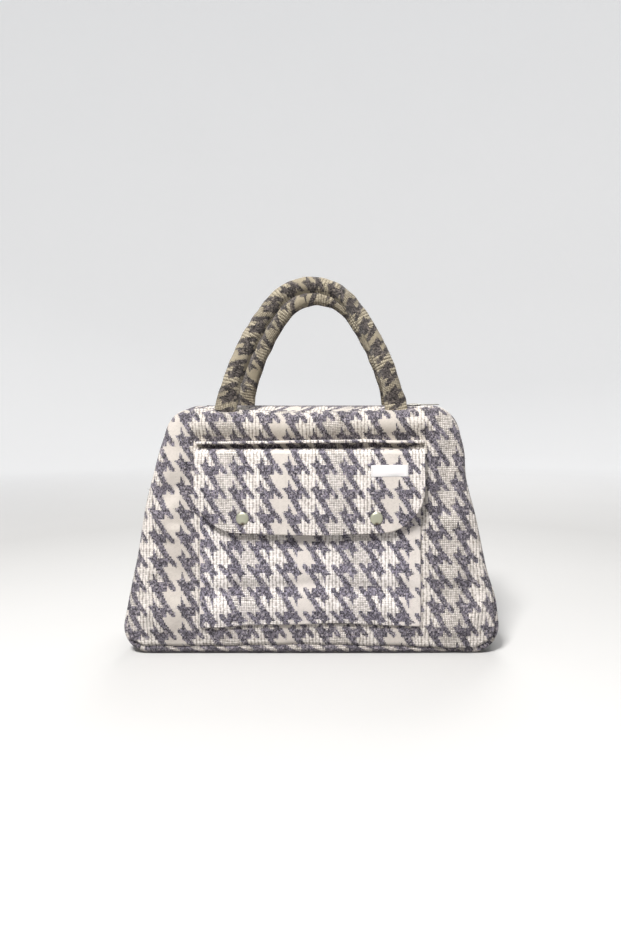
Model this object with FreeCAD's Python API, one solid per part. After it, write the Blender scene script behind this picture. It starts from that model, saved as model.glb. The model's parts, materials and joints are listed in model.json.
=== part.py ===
"""A zip-top handbag in houndstooth cloth: padded body, patch pocket with a snap flap, two corded handles.

Frame: millimetres, +Z up, the front faces -Y, and the origin is under the middle of the base.
"""
import FreeCAD, Part
import math
import os

V = FreeCAD.Vector

# ---- driving dimensions, mm ----
# Body outline, seen from the front
base_half_width = 164.4       # half the width where the side lines would meet the ground
top_half_width = 122.8        # half the width where the side lines would meet the top
body_height = 212.0
base_corner_radius = 22.0
top_corner_radius = 27.0
body_depth = 100.0

# Cloth and fillings
cloth = 1.6                   # houndstooth cloth with its fused backing
foam = 3.0
lining = 0.6
board = 2.4                   # stiffening board in the base
board_play = 0.3
base_seam_half = 130.0        # where the base strip joins the two side strips

# Clearances
gap = 0.3                     # between pieces that move past each other
past = 1.0                    # how far a cut runs past what it cuts

# Zip closure in the top
mouth_half_length = 84.0      # half the length that folds open
park_clearance = 1.0          # from the mouth's end to the parked slider
end_margin = 4.5              # from the zip's end to the side strip
tape_tuck = 3.0               # how far the tape runs on under the end panel
border_width = 10.0           # sewn border that carries the handles
tape_width = 12.5
tape = 0.7
coil_width = 2.7
coil_height = 2.2
coil_split = 0.5              # from the middle plane to each coil
strip_edge = 6.5              # from the middle plane to the folded edge of each strip
strip_drop = 0.2              # from the body's top down to the strips, which fold about the top
stop_length = 2.0

# Zip slider and its pull
slider_length = 12.0
slider_half_width = 4.8
slider_plate = 1.0
slider_wall = 1.2
slider_clearance = 0.4
slider_post_length = 3.0
slider_post_clearance = 0.2
bail_length = 6.0
bail_width = 2.0
bail_rise = 2.6
bail_eye_length = 3.4
bail_eye_height = 1.7
pull_length = 24.0
pull_width = 5.6
pull_thickness = 1.2
pull_arm = 1.1
pull_window = 2.0             # from the bail to the end of the window between the arms
pull_pin_radius = 0.5

# Patch pocket
pocket_half_width = 93.4
pocket_bottom = 27.0
pocket_mouth = 163.0
pocket_room = 5.2             # clear space behind the pocket panel, before its lining
pocket_corner_radius = 3.0
least_corner_radius = 0.5     # inside the pocket's corners

# Flap
flap_half_width = 96.6
flap_top = 183.5
hem_height = 6.6              # sewn-down roll along the flap's top edge
flap_tip = 103.4
flap_corner_radius = 32.0
flap_flare = 2.8              # how much further the tip stands from the body than the hinge
flap_hinge_drop = 0.5         # from the hem down to the top of the flap
flap_lining_margin = 1.0      # the lining stops short of the flap's edge
hem_roundness = 0.45          # radius of the hem's front edges, as a share of its depth

# Snap fasteners
snap_half_spacing = 55.8
snap_height = 117.5
snap_cap_radius = 5.4
snap_cap_rise = 1.5
snap_socket_radius = 4.6
snap_stud_radius = 4.6
snap_stud_base = 0.6
snap_knob_radius = 1.7
snap_knob_tip = 1.2           # radius of the knob's tip
snap_socket_bore = 1.9
snap_rivet_radius = 1.0
snap_back_thickness = 0.4

# Woven label on the flap
label_length = 31.0
label_height = 9.7
label_thickness = 0.5
label_centre_x = 66.8
label_centre_z = 157.0

# Handles
handle_half_span = 72.0
handle_rise = 102.8           # from the hinge to the centre line at the crown
handle_crown_radius = 42.0
handle_shoulder_angle = 53.0  # where the crown arc hands over to the side arcs, degrees from the top
handle_lean = 6.0             # degrees, towards the middle of the bag
cord_radius = 5.5
sleeve = 1.5
tab_length = 13.0             # flattened end of each handle
tab_half_width = 9.5
tab_half_thickness = 2.0
anchor_half_thickness = 1.0
anchor_clearance = 0.5        # between a handle's end and the seat in its tail
anchor_drop = 1.6             # from the hinge down to the tops of the sewn-in tails
hinge_inset = 5.5             # from the body's face to the handle hinge
hinge_lift = 3.0              # from the body's top to the handle hinge

# ---- sizes that follow ----
half_depth = body_depth / 2
taper = math.atan((base_half_width - top_half_width) / body_height)
filling = cloth + foam
inner_wall = filling + lining
border_inner = half_depth - cloth - border_width
zip_half_length = mouth_half_length + park_clearance + slider_length + gap + stop_length
top_seam_half = zip_half_length + end_margin
flap_standoff = pocket_room + cloth + gap     # from the body to the back of the flap, at its hinge
hem_depth = flap_standoff - gap
strip_top = body_height - strip_drop
strip_bottom = strip_top - cloth
tape_top = strip_bottom
tape_bottom = tape_top - tape
coil_top = tape_top + coil_height
sleeve_radius = cord_radius + sleeve
handle_y = half_depth - hinge_inset
handle_z = body_height + hinge_lift


def side_x(z, inset):
    """Half the body's width at height z, on an outline set in by inset."""
    return base_half_width - z * math.tan(taper) - inset / math.cos(taper)


def rounded_wire(corners, radii):
    """A closed wire through the corners, each rounded by a tangent arc of its radius."""
    edges, starts, ends = [], [], []
    n = len(corners)
    for i in range(n):
        corner, before, after = corners[i], corners[i - 1], corners[(i + 1) % n]
        into = (corner - before).normalize()
        out = (after - corner).normalize()
        turn = into.getAngle(out)
        reach = radii[i] * math.tan(turn / 2)
        start, end = corner - into * reach, corner + out * reach
        starts.append(start)
        ends.append(end)
        if radii[i] > 0:
            inward = (out - into).normalize()
            middle = corner + inward * radii[i] * (1 / math.cos(turn / 2) - 1)
            edges.append((i, Part.Arc(start, middle, end).toShape()))
    for i in range(n):
        edges.append((i + 0.5, Part.LineSegment(ends[i], starts[(i + 1) % n]).toShape()))
    edges.sort(key=lambda item: item[0])
    return Part.Wire([edge for place, edge in edges])


def plate(wire, y0, y1):
    """The flat region inside a wire in the XZ plane, made solid from y0 to y1."""
    face = Part.Face(wire)
    face.translate(V(0, y0, 0))
    return face.extrude(V(0, y1 - y0, 0))


def block(x0, x1, y0, y1, z0, z1):
    """A box between two corners."""
    return Part.makeBox(x1 - x0, y1 - y0, z1 - z0, V(x0, y0, z0))


def body_wire(inset):
    """The body's outline, set in by inset all round."""
    low, high = inset, body_height - inset
    x_low, x_high = side_x(low, inset), side_x(high, inset)
    corners = [V(-x_low, 0, low), V(x_low, 0, low), V(x_high, 0, high), V(-x_high, 0, high)]
    low_radius, high_radius = base_corner_radius - inset, top_corner_radius - inset
    return rounded_wire(corners, [low_radius, low_radius, high_radius, high_radius])


def ring(inset, thickness, half):
    """A strip of the given thickness that follows the body's outline, from y = -half to half."""
    outer = plate(body_wire(inset), -half, half)
    return outer.cut(plate(body_wire(inset + thickness), -half - past, half + past))


def front_and_rear(shape):
    """A front piece and its mirror image at the rear."""
    return shape, shape.mirror(V(0, 0, 0), V(0, 1, 0))


def left_and_right(shape):
    """A right-hand piece and its mirror image, as one group."""
    return Part.Compound([shape, shape.mirror(V(0, 0, 0), V(1, 0, 0))])


pieces = {}


def save(name, shape):
    """Keep one node until they are all made."""
    pieces[name] = shape


# ---- body shell, fillings and lining ----
def side_part(strip):
    """The right-hand side of a strip round the body, from the base seam up over the top corner."""
    beyond = base_half_width + past
    side = strip.common(block(base_seam_half, beyond, -half_depth, half_depth, -past, body_height / 2))
    upper = block(top_seam_half, beyond, -half_depth, half_depth,
                  body_height / 2, body_height + past)
    return side.fuse(strip.common(upper)).removeSplitter()


def make_body():
    panel = plate(body_wire(0), -half_depth, -half_depth + cloth)
    front, rear = front_and_rear(panel)
    save("front_panel", front)
    save("rear_panel", rear)

    padding = plate(body_wire(cloth), -half_depth + cloth, -half_depth + filling)
    front, rear = front_and_rear(padding)
    save("front_foam", front)
    save("rear_foam", rear)

    inside = plate(body_wire(cloth), -half_depth + filling, -half_depth + inner_wall)
    front, rear = front_and_rear(inside)
    save("lining_front", front)
    save("lining_rear", rear)

    strip = ring(0, cloth, half_depth - cloth)
    right = side_part(strip)
    save("right_gusset", right)
    save("left_gusset", right.mirror(V(0, 0, 0), V(1, 0, 0)))
    inner_half = half_depth - cloth
    save("base_gusset", block(-base_seam_half, base_seam_half, -inner_half, inner_half, 0, cloth))

    inner_strip = ring(cloth, lining, half_depth - inner_wall)
    right = side_part(inner_strip)
    save("lining_right", right)
    save("lining_left", right.mirror(V(0, 0, 0), V(1, 0, 0)))
    inner_half = half_depth - inner_wall
    board_half = base_seam_half - board_play
    board_top = cloth + board
    board_inner = inner_half - board_play
    save("base_board", block(-board_half, board_half, -board_inner, board_inner, cloth, board_top))
    top = board_top + lining
    save("lining_base", block(-base_seam_half, base_seam_half, -inner_half, inner_half, board_top, top))


# ---- top: fixed borders, end panels and the zip's sewn-in ends ----
def make_top():
    low = body_height - cloth
    border = block(-top_seam_half, top_seam_half, -half_depth + cloth, -border_inner, low, body_height)
    for x in (-handle_half_span, handle_half_span):
        border = border.cut(anchor_blank(x, -handle_y, 0))
    front, rear = front_and_rear(border)
    save("front_top_border", front)
    save("rear_top_border", rear)

    inner = mouth_half_length + gap
    end_panel = block(inner, top_seam_half, -border_inner, border_inner, low, body_height)
    slot = block(inner - past, zip_half_length, -strip_edge, strip_edge, low - past, body_height + past)
    end_panel = end_panel.cut(slot)
    save("right_zip_end_panel", end_panel)
    save("left_zip_end_panel", end_panel.mirror(V(0, 0, 0), V(1, 0, 0)))

    # Under each end panel lie the two ends of the tape, with the last of the coils in the slot.
    tape_end = low
    stub = block(inner, zip_half_length + tape_tuck, -tape_width, -coil_split, tape_end - tape, tape_end)
    tapes = Part.Compound([stub, stub.mirror(V(0, 0, 0), V(0, 1, 0))])
    save("zip_tape_ends", left_and_right(tapes))
    coil = block(inner, zip_half_length - stop_length, -coil_split - coil_width, -coil_split,
                 tape_end, coil_top)
    coils = Part.Compound([coil, coil.mirror(V(0, 0, 0), V(0, 1, 0))])
    save("zip_coil_ends", left_and_right(coils))
    reach = coil_split + coil_width
    stop = block(zip_half_length - stop_length, zip_half_length, -reach, reach, tape_end, coil_top)
    save("zip_stops", left_and_right(stop))


# ---- the two halves that fold open ----
def make_closure():
    inner = -coil_split
    strip = block(-mouth_half_length, mouth_half_length, -border_inner + gap, -strip_edge,
                  strip_bottom, strip_top)
    front, rear = front_and_rear(strip)
    save("front_zip_strip", front)
    save("rear_zip_strip", rear)
    facing = block(-mouth_half_length, mouth_half_length, -border_inner + gap, -tape_width,
                   strip_bottom - lining, strip_bottom)
    front, rear = front_and_rear(facing)
    save("front_zip_facing", front)
    save("rear_zip_facing", rear)
    web = block(-mouth_half_length, mouth_half_length, -tape_width, inner, tape_bottom, tape_top)
    front, rear = front_and_rear(web)
    save("front_zip_tape", front)
    save("rear_zip_tape", rear)
    coil = block(-mouth_half_length, mouth_half_length, inner - coil_width, inner, tape_top, coil_top)
    front, rear = front_and_rear(coil)
    save("front_zip_coil", front)
    save("rear_zip_coil", rear)


# ---- slider and pull, parked at the closed (+X) end ----
slider_x = zip_half_length - stop_length - gap - slider_length / 2
slider_top = coil_top + slider_clearance + slider_plate
pull_axis_z = slider_top + bail_eye_height / 2


def make_slider():
    x0, x1 = slider_x - slider_length / 2, slider_x + slider_length / 2
    under = min(tape_bottom, body_height - cloth - tape) - slider_clearance
    over = coil_top + slider_clearance
    top = block(x0, x1, -slider_half_width, slider_half_width, over, over + slider_plate)
    bottom = block(x0, x1, -slider_half_width, slider_half_width, under - slider_plate, under)
    post_half = coil_split - slider_post_clearance
    post = block(x1 - slider_post_length, x1, -post_half, post_half, under, over)
    body = top.fuse([bottom, post])
    wall_low = max(tape_top, body_height - cloth) + slider_clearance
    for side in (-1, 1):
        y0, y1 = sorted((side * slider_half_width, side * (slider_half_width - slider_wall)))
        body = body.fuse(block(x0, x1, y0, y1, wall_low, over))
    bail = block(slider_x - bail_length / 2, slider_x + bail_length / 2,
                 -bail_width / 2, bail_width / 2, slider_top, slider_top + bail_rise)
    eye = block(slider_x - bail_eye_length / 2, slider_x + bail_eye_length / 2,
                -bail_width, bail_width, slider_top, slider_top + bail_eye_height)
    save("zip_slider", body.fuse(bail.cut(eye)).removeSplitter())

    # The pull is a tab with two arms and a pin through the bail's eye.
    half = pull_width / 2
    z0, z1 = pull_axis_z - pull_thickness / 2, pull_axis_z + pull_thickness / 2
    tab = block(slider_x - pull_pin_radius, slider_x + pull_length, -half, half, z0, z1)
    window = block(slider_x - pull_pin_radius - past, slider_x + bail_length / 2 + pull_window,
                   -half + pull_arm, half - pull_arm, z0 - past, z1 + past)
    pin = Part.makeCylinder(pull_pin_radius, pull_width, V(slider_x, -half, pull_axis_z), V(0, 1, 0))
    save("zip_pull", tab.cut(window).fuse(pin).removeSplitter())


# ---- patch pocket ----
pocket_face = half_depth + pocket_room + cloth


def pocket_wire(inset, mouth):
    """The pocket's outline, set in by inset at the sides and the bottom."""
    half, low = pocket_half_width - inset, pocket_bottom + inset
    corners = [V(-half, 0, low), V(half, 0, low), V(half, 0, mouth), V(-half, 0, mouth)]
    radius = max(pocket_corner_radius - inset, least_corner_radius)
    return rounded_wire(corners, [radius, radius, 0, 0])


def make_pocket():
    outer = plate(pocket_wire(0, pocket_mouth), -pocket_face, -half_depth)
    room = plate(pocket_wire(cloth, pocket_mouth + past), -half_depth - pocket_room,
                 -half_depth + past)
    tray = outer.cut(room)
    back = plate(pocket_wire(cloth, pocket_mouth), -half_depth - pocket_room,
                 -half_depth - pocket_room + lining)
    holes = [rivet_hole(x, -pocket_face - past, -half_depth) for x in (-snap_half_spacing, snap_half_spacing)]
    for hole in holes:
        tray = tray.cut(hole)
        back = back.cut(hole)
    save("pocket_panel", tray)
    save("pocket_lining", back)


def rivet_hole(x, y0, y1):
    """The hole that a snap's rivet passes through."""
    return Part.makeCylinder(snap_rivet_radius, y1 - y0, V(x, y0, snap_height), V(0, 1, 0))


# ---- flap ----
flap_hinge_z = flap_top - hem_height - flap_hinge_drop
flap_slope = math.atan(flap_flare / (flap_hinge_z - flap_tip))
flap_hinge_y = -half_depth - flap_standoff - (cloth + lining) / 2


def on_slope(shape):
    """Tilt a flap piece, drawn upright, about the flap's hinge."""
    turned = shape.copy()
    turned.rotate(V(0, flap_hinge_y, flap_hinge_z), V(1, 0, 0), -math.degrees(flap_slope))
    return turned


def flap_wire(inset):
    """The flap's outline: square at the hinge, with large round corners at the tip."""
    half, low = flap_half_width - inset, flap_tip + inset
    corners = [V(-half, 0, low), V(half, 0, low), V(half, 0, flap_hinge_z), V(-half, 0, flap_hinge_z)]
    radius = flap_corner_radius - inset
    return rounded_wire(corners, [radius, radius, 0, 0])


def make_flap():
    hem = block(-flap_half_width, flap_half_width, -half_depth - hem_depth, -half_depth,
                flap_top - hem_height, flap_top)
    long_front = [e for e in hem.Edges
                  if e.BoundBox.YMax < -half_depth - hem_depth / 2 and e.Length > flap_half_width]
    save("flap_hem", hem.makeFillet(hem_depth * hem_roundness, long_front))

    back = -half_depth - flap_standoff
    face = back - lining - cloth
    outer = on_slope(plate(flap_wire(0), face, back - lining))
    inner = on_slope(plate(flap_wire(flap_lining_margin), back - lining, back))
    caps, sockets = [], []
    for x in (-snap_half_spacing, snap_half_spacing):
        hole = on_slope(rivet_hole(x, face - past, back + past))
        outer, inner = outer.cut(hole), inner.cut(hole)
        caps.append(on_slope(snap_cap(x, face, back)))
        sockets.append(on_slope(snap_socket(x, back)))
    save("flap", outer)
    save("flap_lining", inner)
    save("snap_caps", Part.Compound(caps))
    save("snap_sockets", Part.Compound(sockets))
    label = block(label_centre_x - label_length / 2, label_centre_x + label_length / 2,
                  face - label_thickness, face,
                  label_centre_z - label_height / 2, label_centre_z + label_height / 2)
    save("label", on_slope(label))


# ---- snap fasteners ----
def snap_cap(x, face, back):
    """A domed cap on the flap's face, with its rivet through to the back."""
    dome_radius = (snap_cap_radius ** 2 + snap_cap_rise ** 2) / (2 * snap_cap_rise)
    ball = Part.makeSphere(dome_radius, V(x, face - snap_cap_rise + dome_radius, snap_height))
    wide = 2 * snap_cap_radius
    slab = block(x - wide, x + wide, face - 2 * snap_cap_rise, face,
                 snap_height - wide, snap_height + wide)
    rivet = Part.makeCylinder(snap_rivet_radius, back - face, V(x, face, snap_height), V(0, 1, 0))
    return ball.common(slab).fuse(rivet)


def flap_gap_at_snap():
    """The room between the pocket's face and the back of the flap at the snaps."""
    drop = flap_hinge_z - snap_height
    return flap_standoff + drop * math.tan(flap_slope) - pocket_room - cloth


def snap_socket(x, back):
    """The ring that grips the stud, on the back of the flap."""
    depth = flap_gap_at_snap() - snap_stud_base - 2 * gap
    disc = Part.makeCylinder(snap_socket_radius, depth, V(x, back, snap_height), V(0, 1, 0))
    # The bore widens towards its mouth, so that the stud clears it as the flap swings.
    bore = Part.makeCone(snap_socket_bore, snap_socket_bore + depth / 2, depth,
                         V(x, back, snap_height), V(0, 1, 0))
    return disc.cut(bore)


def make_studs():
    studs, backs = [], []
    knob = flap_gap_at_snap() - snap_stud_base - 3 * gap
    for x in (-snap_half_spacing, snap_half_spacing):
        base = Part.makeCylinder(snap_stud_radius, snap_stud_base,
                                 V(x, -pocket_face - snap_stud_base, snap_height), V(0, 1, 0))
        tip = Part.makeCone(snap_knob_tip, snap_knob_radius, knob,
                            V(x, -pocket_face - snap_stud_base - knob, snap_height), V(0, 1, 0))
        stem = Part.makeCylinder(snap_rivet_radius, cloth + lining,
                                 V(x, -pocket_face, snap_height), V(0, 1, 0))
        studs.append(base.fuse([tip, stem]))
        backs.append(Part.makeCylinder(snap_stud_radius, snap_back_thickness,
                                       V(x, -half_depth - pocket_room + lining, snap_height),
                                       V(0, 1, 0)))
    save("snap_studs", Part.Compound(studs))
    save("snap_stud_backs", Part.Compound(backs))


# ---- handles ----
# The centre line is a crown arc between two longer side arcs, all tangent.
shoulder = math.radians(handle_shoulder_angle)
crown_z = handle_rise - handle_crown_radius
shoulder_x = handle_crown_radius * math.sin(shoulder)
shoulder_z = crown_z + handle_crown_radius * math.cos(shoulder)
chord = math.hypot(handle_half_span - shoulder_x, shoulder_z)
chord_angle = math.atan2(shoulder_z, handle_half_span - shoulder_x)
foot_angle = 2 * chord_angle - shoulder
side_radius = chord / (2 * math.sin((foot_angle - shoulder) / 2))
side_centre_x = shoulder_x - side_radius * math.sin(shoulder)
side_centre_z = shoulder_z - side_radius * math.cos(shoulder)
tab_angle = foot_angle - tab_length / side_radius


def side_point(angle):
    """The point of the right-hand side arc where the centre line slopes down at this angle."""
    return V(side_centre_x + side_radius * math.sin(angle), 0,
             side_centre_z + side_radius * math.cos(angle))


def mirrored(point):
    return V(-point.x, point.y, point.z)


def handle_path():
    """The round part's centre line, from tab to tab."""
    start, end = side_point(tab_angle), side_point(shoulder)
    middle = side_point((tab_angle + shoulder) / 2)
    crown = V(0, 0, handle_rise)
    return Part.Wire([
        Part.Arc(mirrored(start), mirrored(middle), mirrored(end)).toShape(),
        Part.Arc(mirrored(end), crown, end).toShape(),
        Part.Arc(end, middle, start).toShape(),
    ])


def swept(radius):
    """A round bar along the handle's centre line."""
    path = handle_path()
    start = mirrored(side_point(tab_angle))
    along = V(math.cos(tab_angle), 0, math.sin(tab_angle))
    circle = Part.Wire([Part.Circle(start, along, radius).toShape()])
    return path.makePipeShell([circle], True, True)


def in_place(shape, y_side):
    """Stand a handle, drawn upright with its hinge at the origin, in its place."""
    placed = shape.copy()
    placed.rotate(V(0, 0, 0), V(1, 0, 0), y_side * handle_lean)
    placed.translate(V(0, y_side * handle_y, handle_z))
    return placed


def tab_section(width_half, thickness_half, centre, across):
    """A wire of two straight or bowed runs and two round ends, in the plane of across and Y."""
    if width_half == thickness_half:
        def at(angle):
            return (centre + across * (width_half * math.cos(angle))
                    + V(0, 1, 0) * (thickness_half * math.sin(angle)))
        eighth = math.pi / 4
        return Part.Wire([Part.Arc(at((2 * k - 1) * eighth), at(2 * k * eighth),
                                   at((2 * k + 1) * eighth)).toShape() for k in range(4)])
    flat = width_half - thickness_half

    def on(a, b):
        return centre + across * a + V(0, 1, 0) * b
    t = thickness_half
    return Part.Wire([
        Part.Arc(on(flat, -t), on(flat + t, 0), on(flat, t)).toShape(),
        Part.LineSegment(on(flat, t), on(-flat, t)).toShape(),
        Part.Arc(on(-flat, t), on(-flat - t, 0), on(-flat, -t)).toShape(),
        Part.LineSegment(on(-flat, -t), on(flat, -t)).toShape(),
    ])


def capsule(x, y, z, half_length, radius):
    """A round bar along X with ball ends."""
    bar = Part.makeCylinder(radius, 2 * half_length, V(x - half_length, y, z), V(1, 0, 0))
    balls = [Part.makeSphere(radius, V(x + s * half_length, y, z)) for s in (-1, 1)]
    return bar.fuse(balls)


def handle_tab():
    """The right-hand flattened end, from the hinge up to the round part."""
    foot = V(handle_half_span, 0, 0)
    top = side_point(tab_angle)
    across = V(math.sin(tab_angle), 0, math.cos(tab_angle))
    low = tab_section(tab_half_width, tab_half_thickness, foot, V(1, 0, 0))
    high = tab_section(sleeve_radius, sleeve_radius, top, across)
    body = Part.makeLoft([low, high], True, True)
    # Under the hinge line the end is half a round bar, which meets the tab on their shared flat foot.
    bar = capsule(foot.x, 0, 0, tab_half_width - tab_half_thickness, tab_half_thickness)
    half, thick = tab_half_width + past, tab_half_thickness + past
    knuckle = bar.common(block(foot.x - half, foot.x + half, -thick, thick, -thick, 0))
    return body.fuse(knuckle)


def anchor_blank(x, y, clearance):
    """The sewn-in tail that a handle end turns on, before its seat is cut."""
    half, thick = tab_half_width + clearance, anchor_half_thickness + clearance
    return block(x - half, x + half, y - thick, y + thick, body_height - cloth, handle_z)


def handle_anchor(x, y):
    seat = capsule(x, y, handle_z, tab_half_width - tab_half_thickness + anchor_clearance,
                   tab_half_thickness + anchor_clearance)
    half, thick = tab_half_width + past, anchor_half_thickness + past
    above = block(x - half, x + half, y - thick, y + thick, handle_z - anchor_drop, handle_z + past)
    return anchor_blank(x, y, 0).cut(seat).cut(above)


def make_handles():
    sleeve_tube = swept(sleeve_radius).cut(swept(cord_radius))
    cord = swept(cord_radius)
    tabs = left_and_right(handle_tab())
    for name, y_side in (("front", -1), ("rear", 1)):
        # The front handle leans back and the rear one forward.
        save(name + "_handle_sleeve", in_place(sleeve_tube, y_side))
        save(name + "_handle_cord", in_place(cord, y_side))
        save(name + "_handle_tabs", in_place(tabs, y_side))
        anchors = [handle_anchor(x, y_side * handle_y) for x in (-handle_half_span, handle_half_span)]
        save(name + "_handle_anchors", Part.Compound(anchors))


def main():
    os.makedirs("parts", exist_ok=True)
    make_body()
    make_top()
    make_closure()
    make_slider()
    make_pocket()
    make_flap()
    make_studs()
    make_handles()
    # The body's middle plane is drawn at y = 0. The origin is under the middle of the whole box.
    box = Part.Compound(list(pieces.values())).optimalBoundingBox(False, False)
    for name, shape in pieces.items():
        shape.translate(V(0, -(box.YMin + box.YMax) / 2, 0))
        shape.exportStep(os.path.join("parts", name + ".step"))


main()
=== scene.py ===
"""A houndstooth handbag with a zip top, a snap-flap pocket and two round handles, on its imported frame.

Lengths are metres. +X is to the right seen from the front, +Z is up, and the front faces -Y.
"""
import json
import math

import bpy
import numpy as np
from bpy.props import FloatProperty, FloatVectorProperty, PointerProperty
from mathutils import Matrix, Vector


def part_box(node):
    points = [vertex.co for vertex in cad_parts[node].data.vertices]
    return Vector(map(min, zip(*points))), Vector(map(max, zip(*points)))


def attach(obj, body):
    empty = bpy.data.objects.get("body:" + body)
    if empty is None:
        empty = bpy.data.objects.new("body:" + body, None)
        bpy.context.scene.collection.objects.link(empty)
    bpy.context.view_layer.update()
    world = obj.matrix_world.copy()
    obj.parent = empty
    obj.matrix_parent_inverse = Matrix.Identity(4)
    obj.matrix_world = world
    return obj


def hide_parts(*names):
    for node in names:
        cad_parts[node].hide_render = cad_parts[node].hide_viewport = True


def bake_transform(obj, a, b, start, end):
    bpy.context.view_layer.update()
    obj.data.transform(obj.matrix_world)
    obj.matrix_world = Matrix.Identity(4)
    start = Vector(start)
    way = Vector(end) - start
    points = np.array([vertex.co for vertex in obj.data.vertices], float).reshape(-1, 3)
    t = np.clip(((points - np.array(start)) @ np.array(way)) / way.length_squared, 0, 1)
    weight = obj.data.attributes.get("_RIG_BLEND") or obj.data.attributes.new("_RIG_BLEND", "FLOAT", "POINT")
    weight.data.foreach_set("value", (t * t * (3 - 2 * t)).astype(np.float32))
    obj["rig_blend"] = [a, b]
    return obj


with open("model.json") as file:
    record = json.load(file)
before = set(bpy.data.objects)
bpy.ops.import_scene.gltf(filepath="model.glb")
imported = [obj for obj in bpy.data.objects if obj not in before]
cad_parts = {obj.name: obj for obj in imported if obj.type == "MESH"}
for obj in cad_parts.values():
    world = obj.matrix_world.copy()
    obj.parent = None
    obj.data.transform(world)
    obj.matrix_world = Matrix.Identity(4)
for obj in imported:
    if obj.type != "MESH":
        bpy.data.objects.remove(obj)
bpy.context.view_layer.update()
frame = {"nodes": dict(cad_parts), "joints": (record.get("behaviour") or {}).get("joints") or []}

bl_info = {
    "name": "Houndstooth Handbag",
    "version": (1, 0, 0),
    "blender": (4, 5, 0),
    "location": "3D View > Sidebar > Handbag",
    "description": "Builds a soft houndstooth handbag around its frame",
    "category": "Add Mesh",
}

MM = 0.001
SIDES = ((-1, "front"), (1, "rear"))
PLAIN_REPEAT = (23.6, 20.4)   # mm, where the cloth was cut without being pulled
TOP_PHASE = (0.44, 0.5)       # the weave's start on the pieces beside the zip
# Painted shade on the cloth of the strips and end panels beside the zip.
TOP_PAINTED_SHADE = 0.12


# ---------------------------------------------------------------- sizes and colours
def length(name, description, default):
    return FloatProperty(name=name, description=description, default=default,
                         unit="LENGTH", subtype="DISTANCE")


def colour(name, description, default):
    return FloatVectorProperty(name=name, description=description, default=default, subtype="COLOR", size=3,
                               min=0.0, max=1.0)


class BodySizes(bpy.types.PropertyGroup):
    """Sizes of the padded body"""
    base_half_width: length("Base half width", "Half the width where the side lines meet the ground", 0.1644)
    top_half_width: length("Top half width", "Half the width where the side lines meet the top", 0.1228)
    base_corner: length("Base corner", "Radius of the lower corners", 0.022)
    top_corner: length("Top corner", "Radius of the upper corners", 0.027)
    roll: length("Edge roll", "Radius of the padded edge round each panel", 0.0085)
    pillow: length("Pillow", "How far the rear panel swells between its seams", 0.006)
    front_pillow: length("Front pillow", "How far the front panel swells beside the pocket", 0.0028)
    sag: length("Top sag", "How far the top edges hang between the corners", 0.0036)
    seam_depth: length("Seam depth", "How deep the seams pull in", 0.0022)


class PocketSizes(bpy.types.PropertyGroup):
    """Sizes of the patch pocket, its flap and the hem above it"""
    edge_height: length("Pocket edge", "Height of the pocket's sewn edge above the panel", 0.0026)
    rise: length("Pocket rise", "Width over which the pocket rises from its edge", 0.016)
    crease: length("Crease depth", "Depth of the soft crease across the pocket", 0.0019)
    flap_corner: length("Flap corner", "Radius of the flap's lower corners", 0.038)
    flap_thickness: length("Flap thickness", "Thickness at the flap's pressed edge", 0.0023)
    flap_swell: length("Flap swell", "How far the flap swells between its snaps", 0.0012)


class HandleSizes(bpy.types.PropertyGroup):
    """Sizes of the two handles"""
    half_span: length("Half span", "Half the distance between a handle's ends", 0.072)
    rise: length("Rise", "Height of the crown above the hinge", 0.1028)
    crown_radius: length("Crown radius", "Radius of the arc at the crown", 0.042)
    shoulder: FloatProperty(name="Shoulder", subtype="ANGLE", default=math.radians(53.0),
                            description="Where the crown arc meets the side arcs, from the top")
    lean: FloatProperty(name="Lean", description="How far each handle leans towards the middle",
                        default=math.radians(6.0), subtype="ANGLE")
    crown_thickness: length("Crown thickness", "Radius of the handle at its crown", 0.0070)
    foot_thickness: length("Foot thickness", "Radius of the handle above its sewn end", 0.0079)
    foot_width: length("Foot half width", "Half the width of the flattened end", 0.0092)


class ClothLook(bpy.types.PropertyGroup):
    """Repeat and colours of the cloth and the metal"""
    repeat_width: length("Repeat width", "Width of one houndstooth repeat", 0.0236)
    repeat_height: length("Repeat height", "Height of one houndstooth repeat", 0.0203)
    cream: colour("Cream", "Light yarn", (0.900, 0.838, 0.800))
    ecru: colour("Ecru", "The finer twill of every fourth column", (0.750, 0.680, 0.610))
    gap: colour("Gaps", "The small holes between the light knots", (0.190, 0.160, 0.125))
    slate: colour("Slate", "Dark yarn", (0.085, 0.077, 0.093))
    plum: colour("Plum", "Lighter lines in the dark yarn", (0.500, 0.452, 0.540))
    lining: colour("Lining", "Plain lining cloth", (0.075, 0.066, 0.085))
    metal: colour("Snap plating", "Sage plating of the snaps", (0.440, 0.440, 0.340))
    zip_metal: colour("Zip plating", "Plating of the slider and the pull", (0.330, 0.320, 0.290))


# ---------------------------------------------------------------- small tools
def unit(v):
    return v / np.linalg.norm(v)


def smooth(t):
    """0 before 0, 1 after 1, and an even rise between."""
    t = np.clip(t, 0.0, 1.0)
    return t * t * (3 - 2 * t)


def hump(x, centre, width):
    return np.exp(-((x - centre) / width) ** 2)


def ripple(x, z, scale, seed, waves=7):
    """Even, seeded unevenness of about unit height, with features of the given size."""
    rng = np.random.RandomState(seed)
    total = np.zeros(np.broadcast(x, z).shape)
    for _ in range(waves):
        angle = rng.uniform(0, math.pi)
        pitch = scale * rng.uniform(0.7, 1.5)
        phase = rng.uniform(0, 2 * math.pi)
        total += np.sin(2 * math.pi * (x * math.cos(angle) + z * math.sin(angle)) / pitch + phase)
    return total / math.sqrt(waves)


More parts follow.
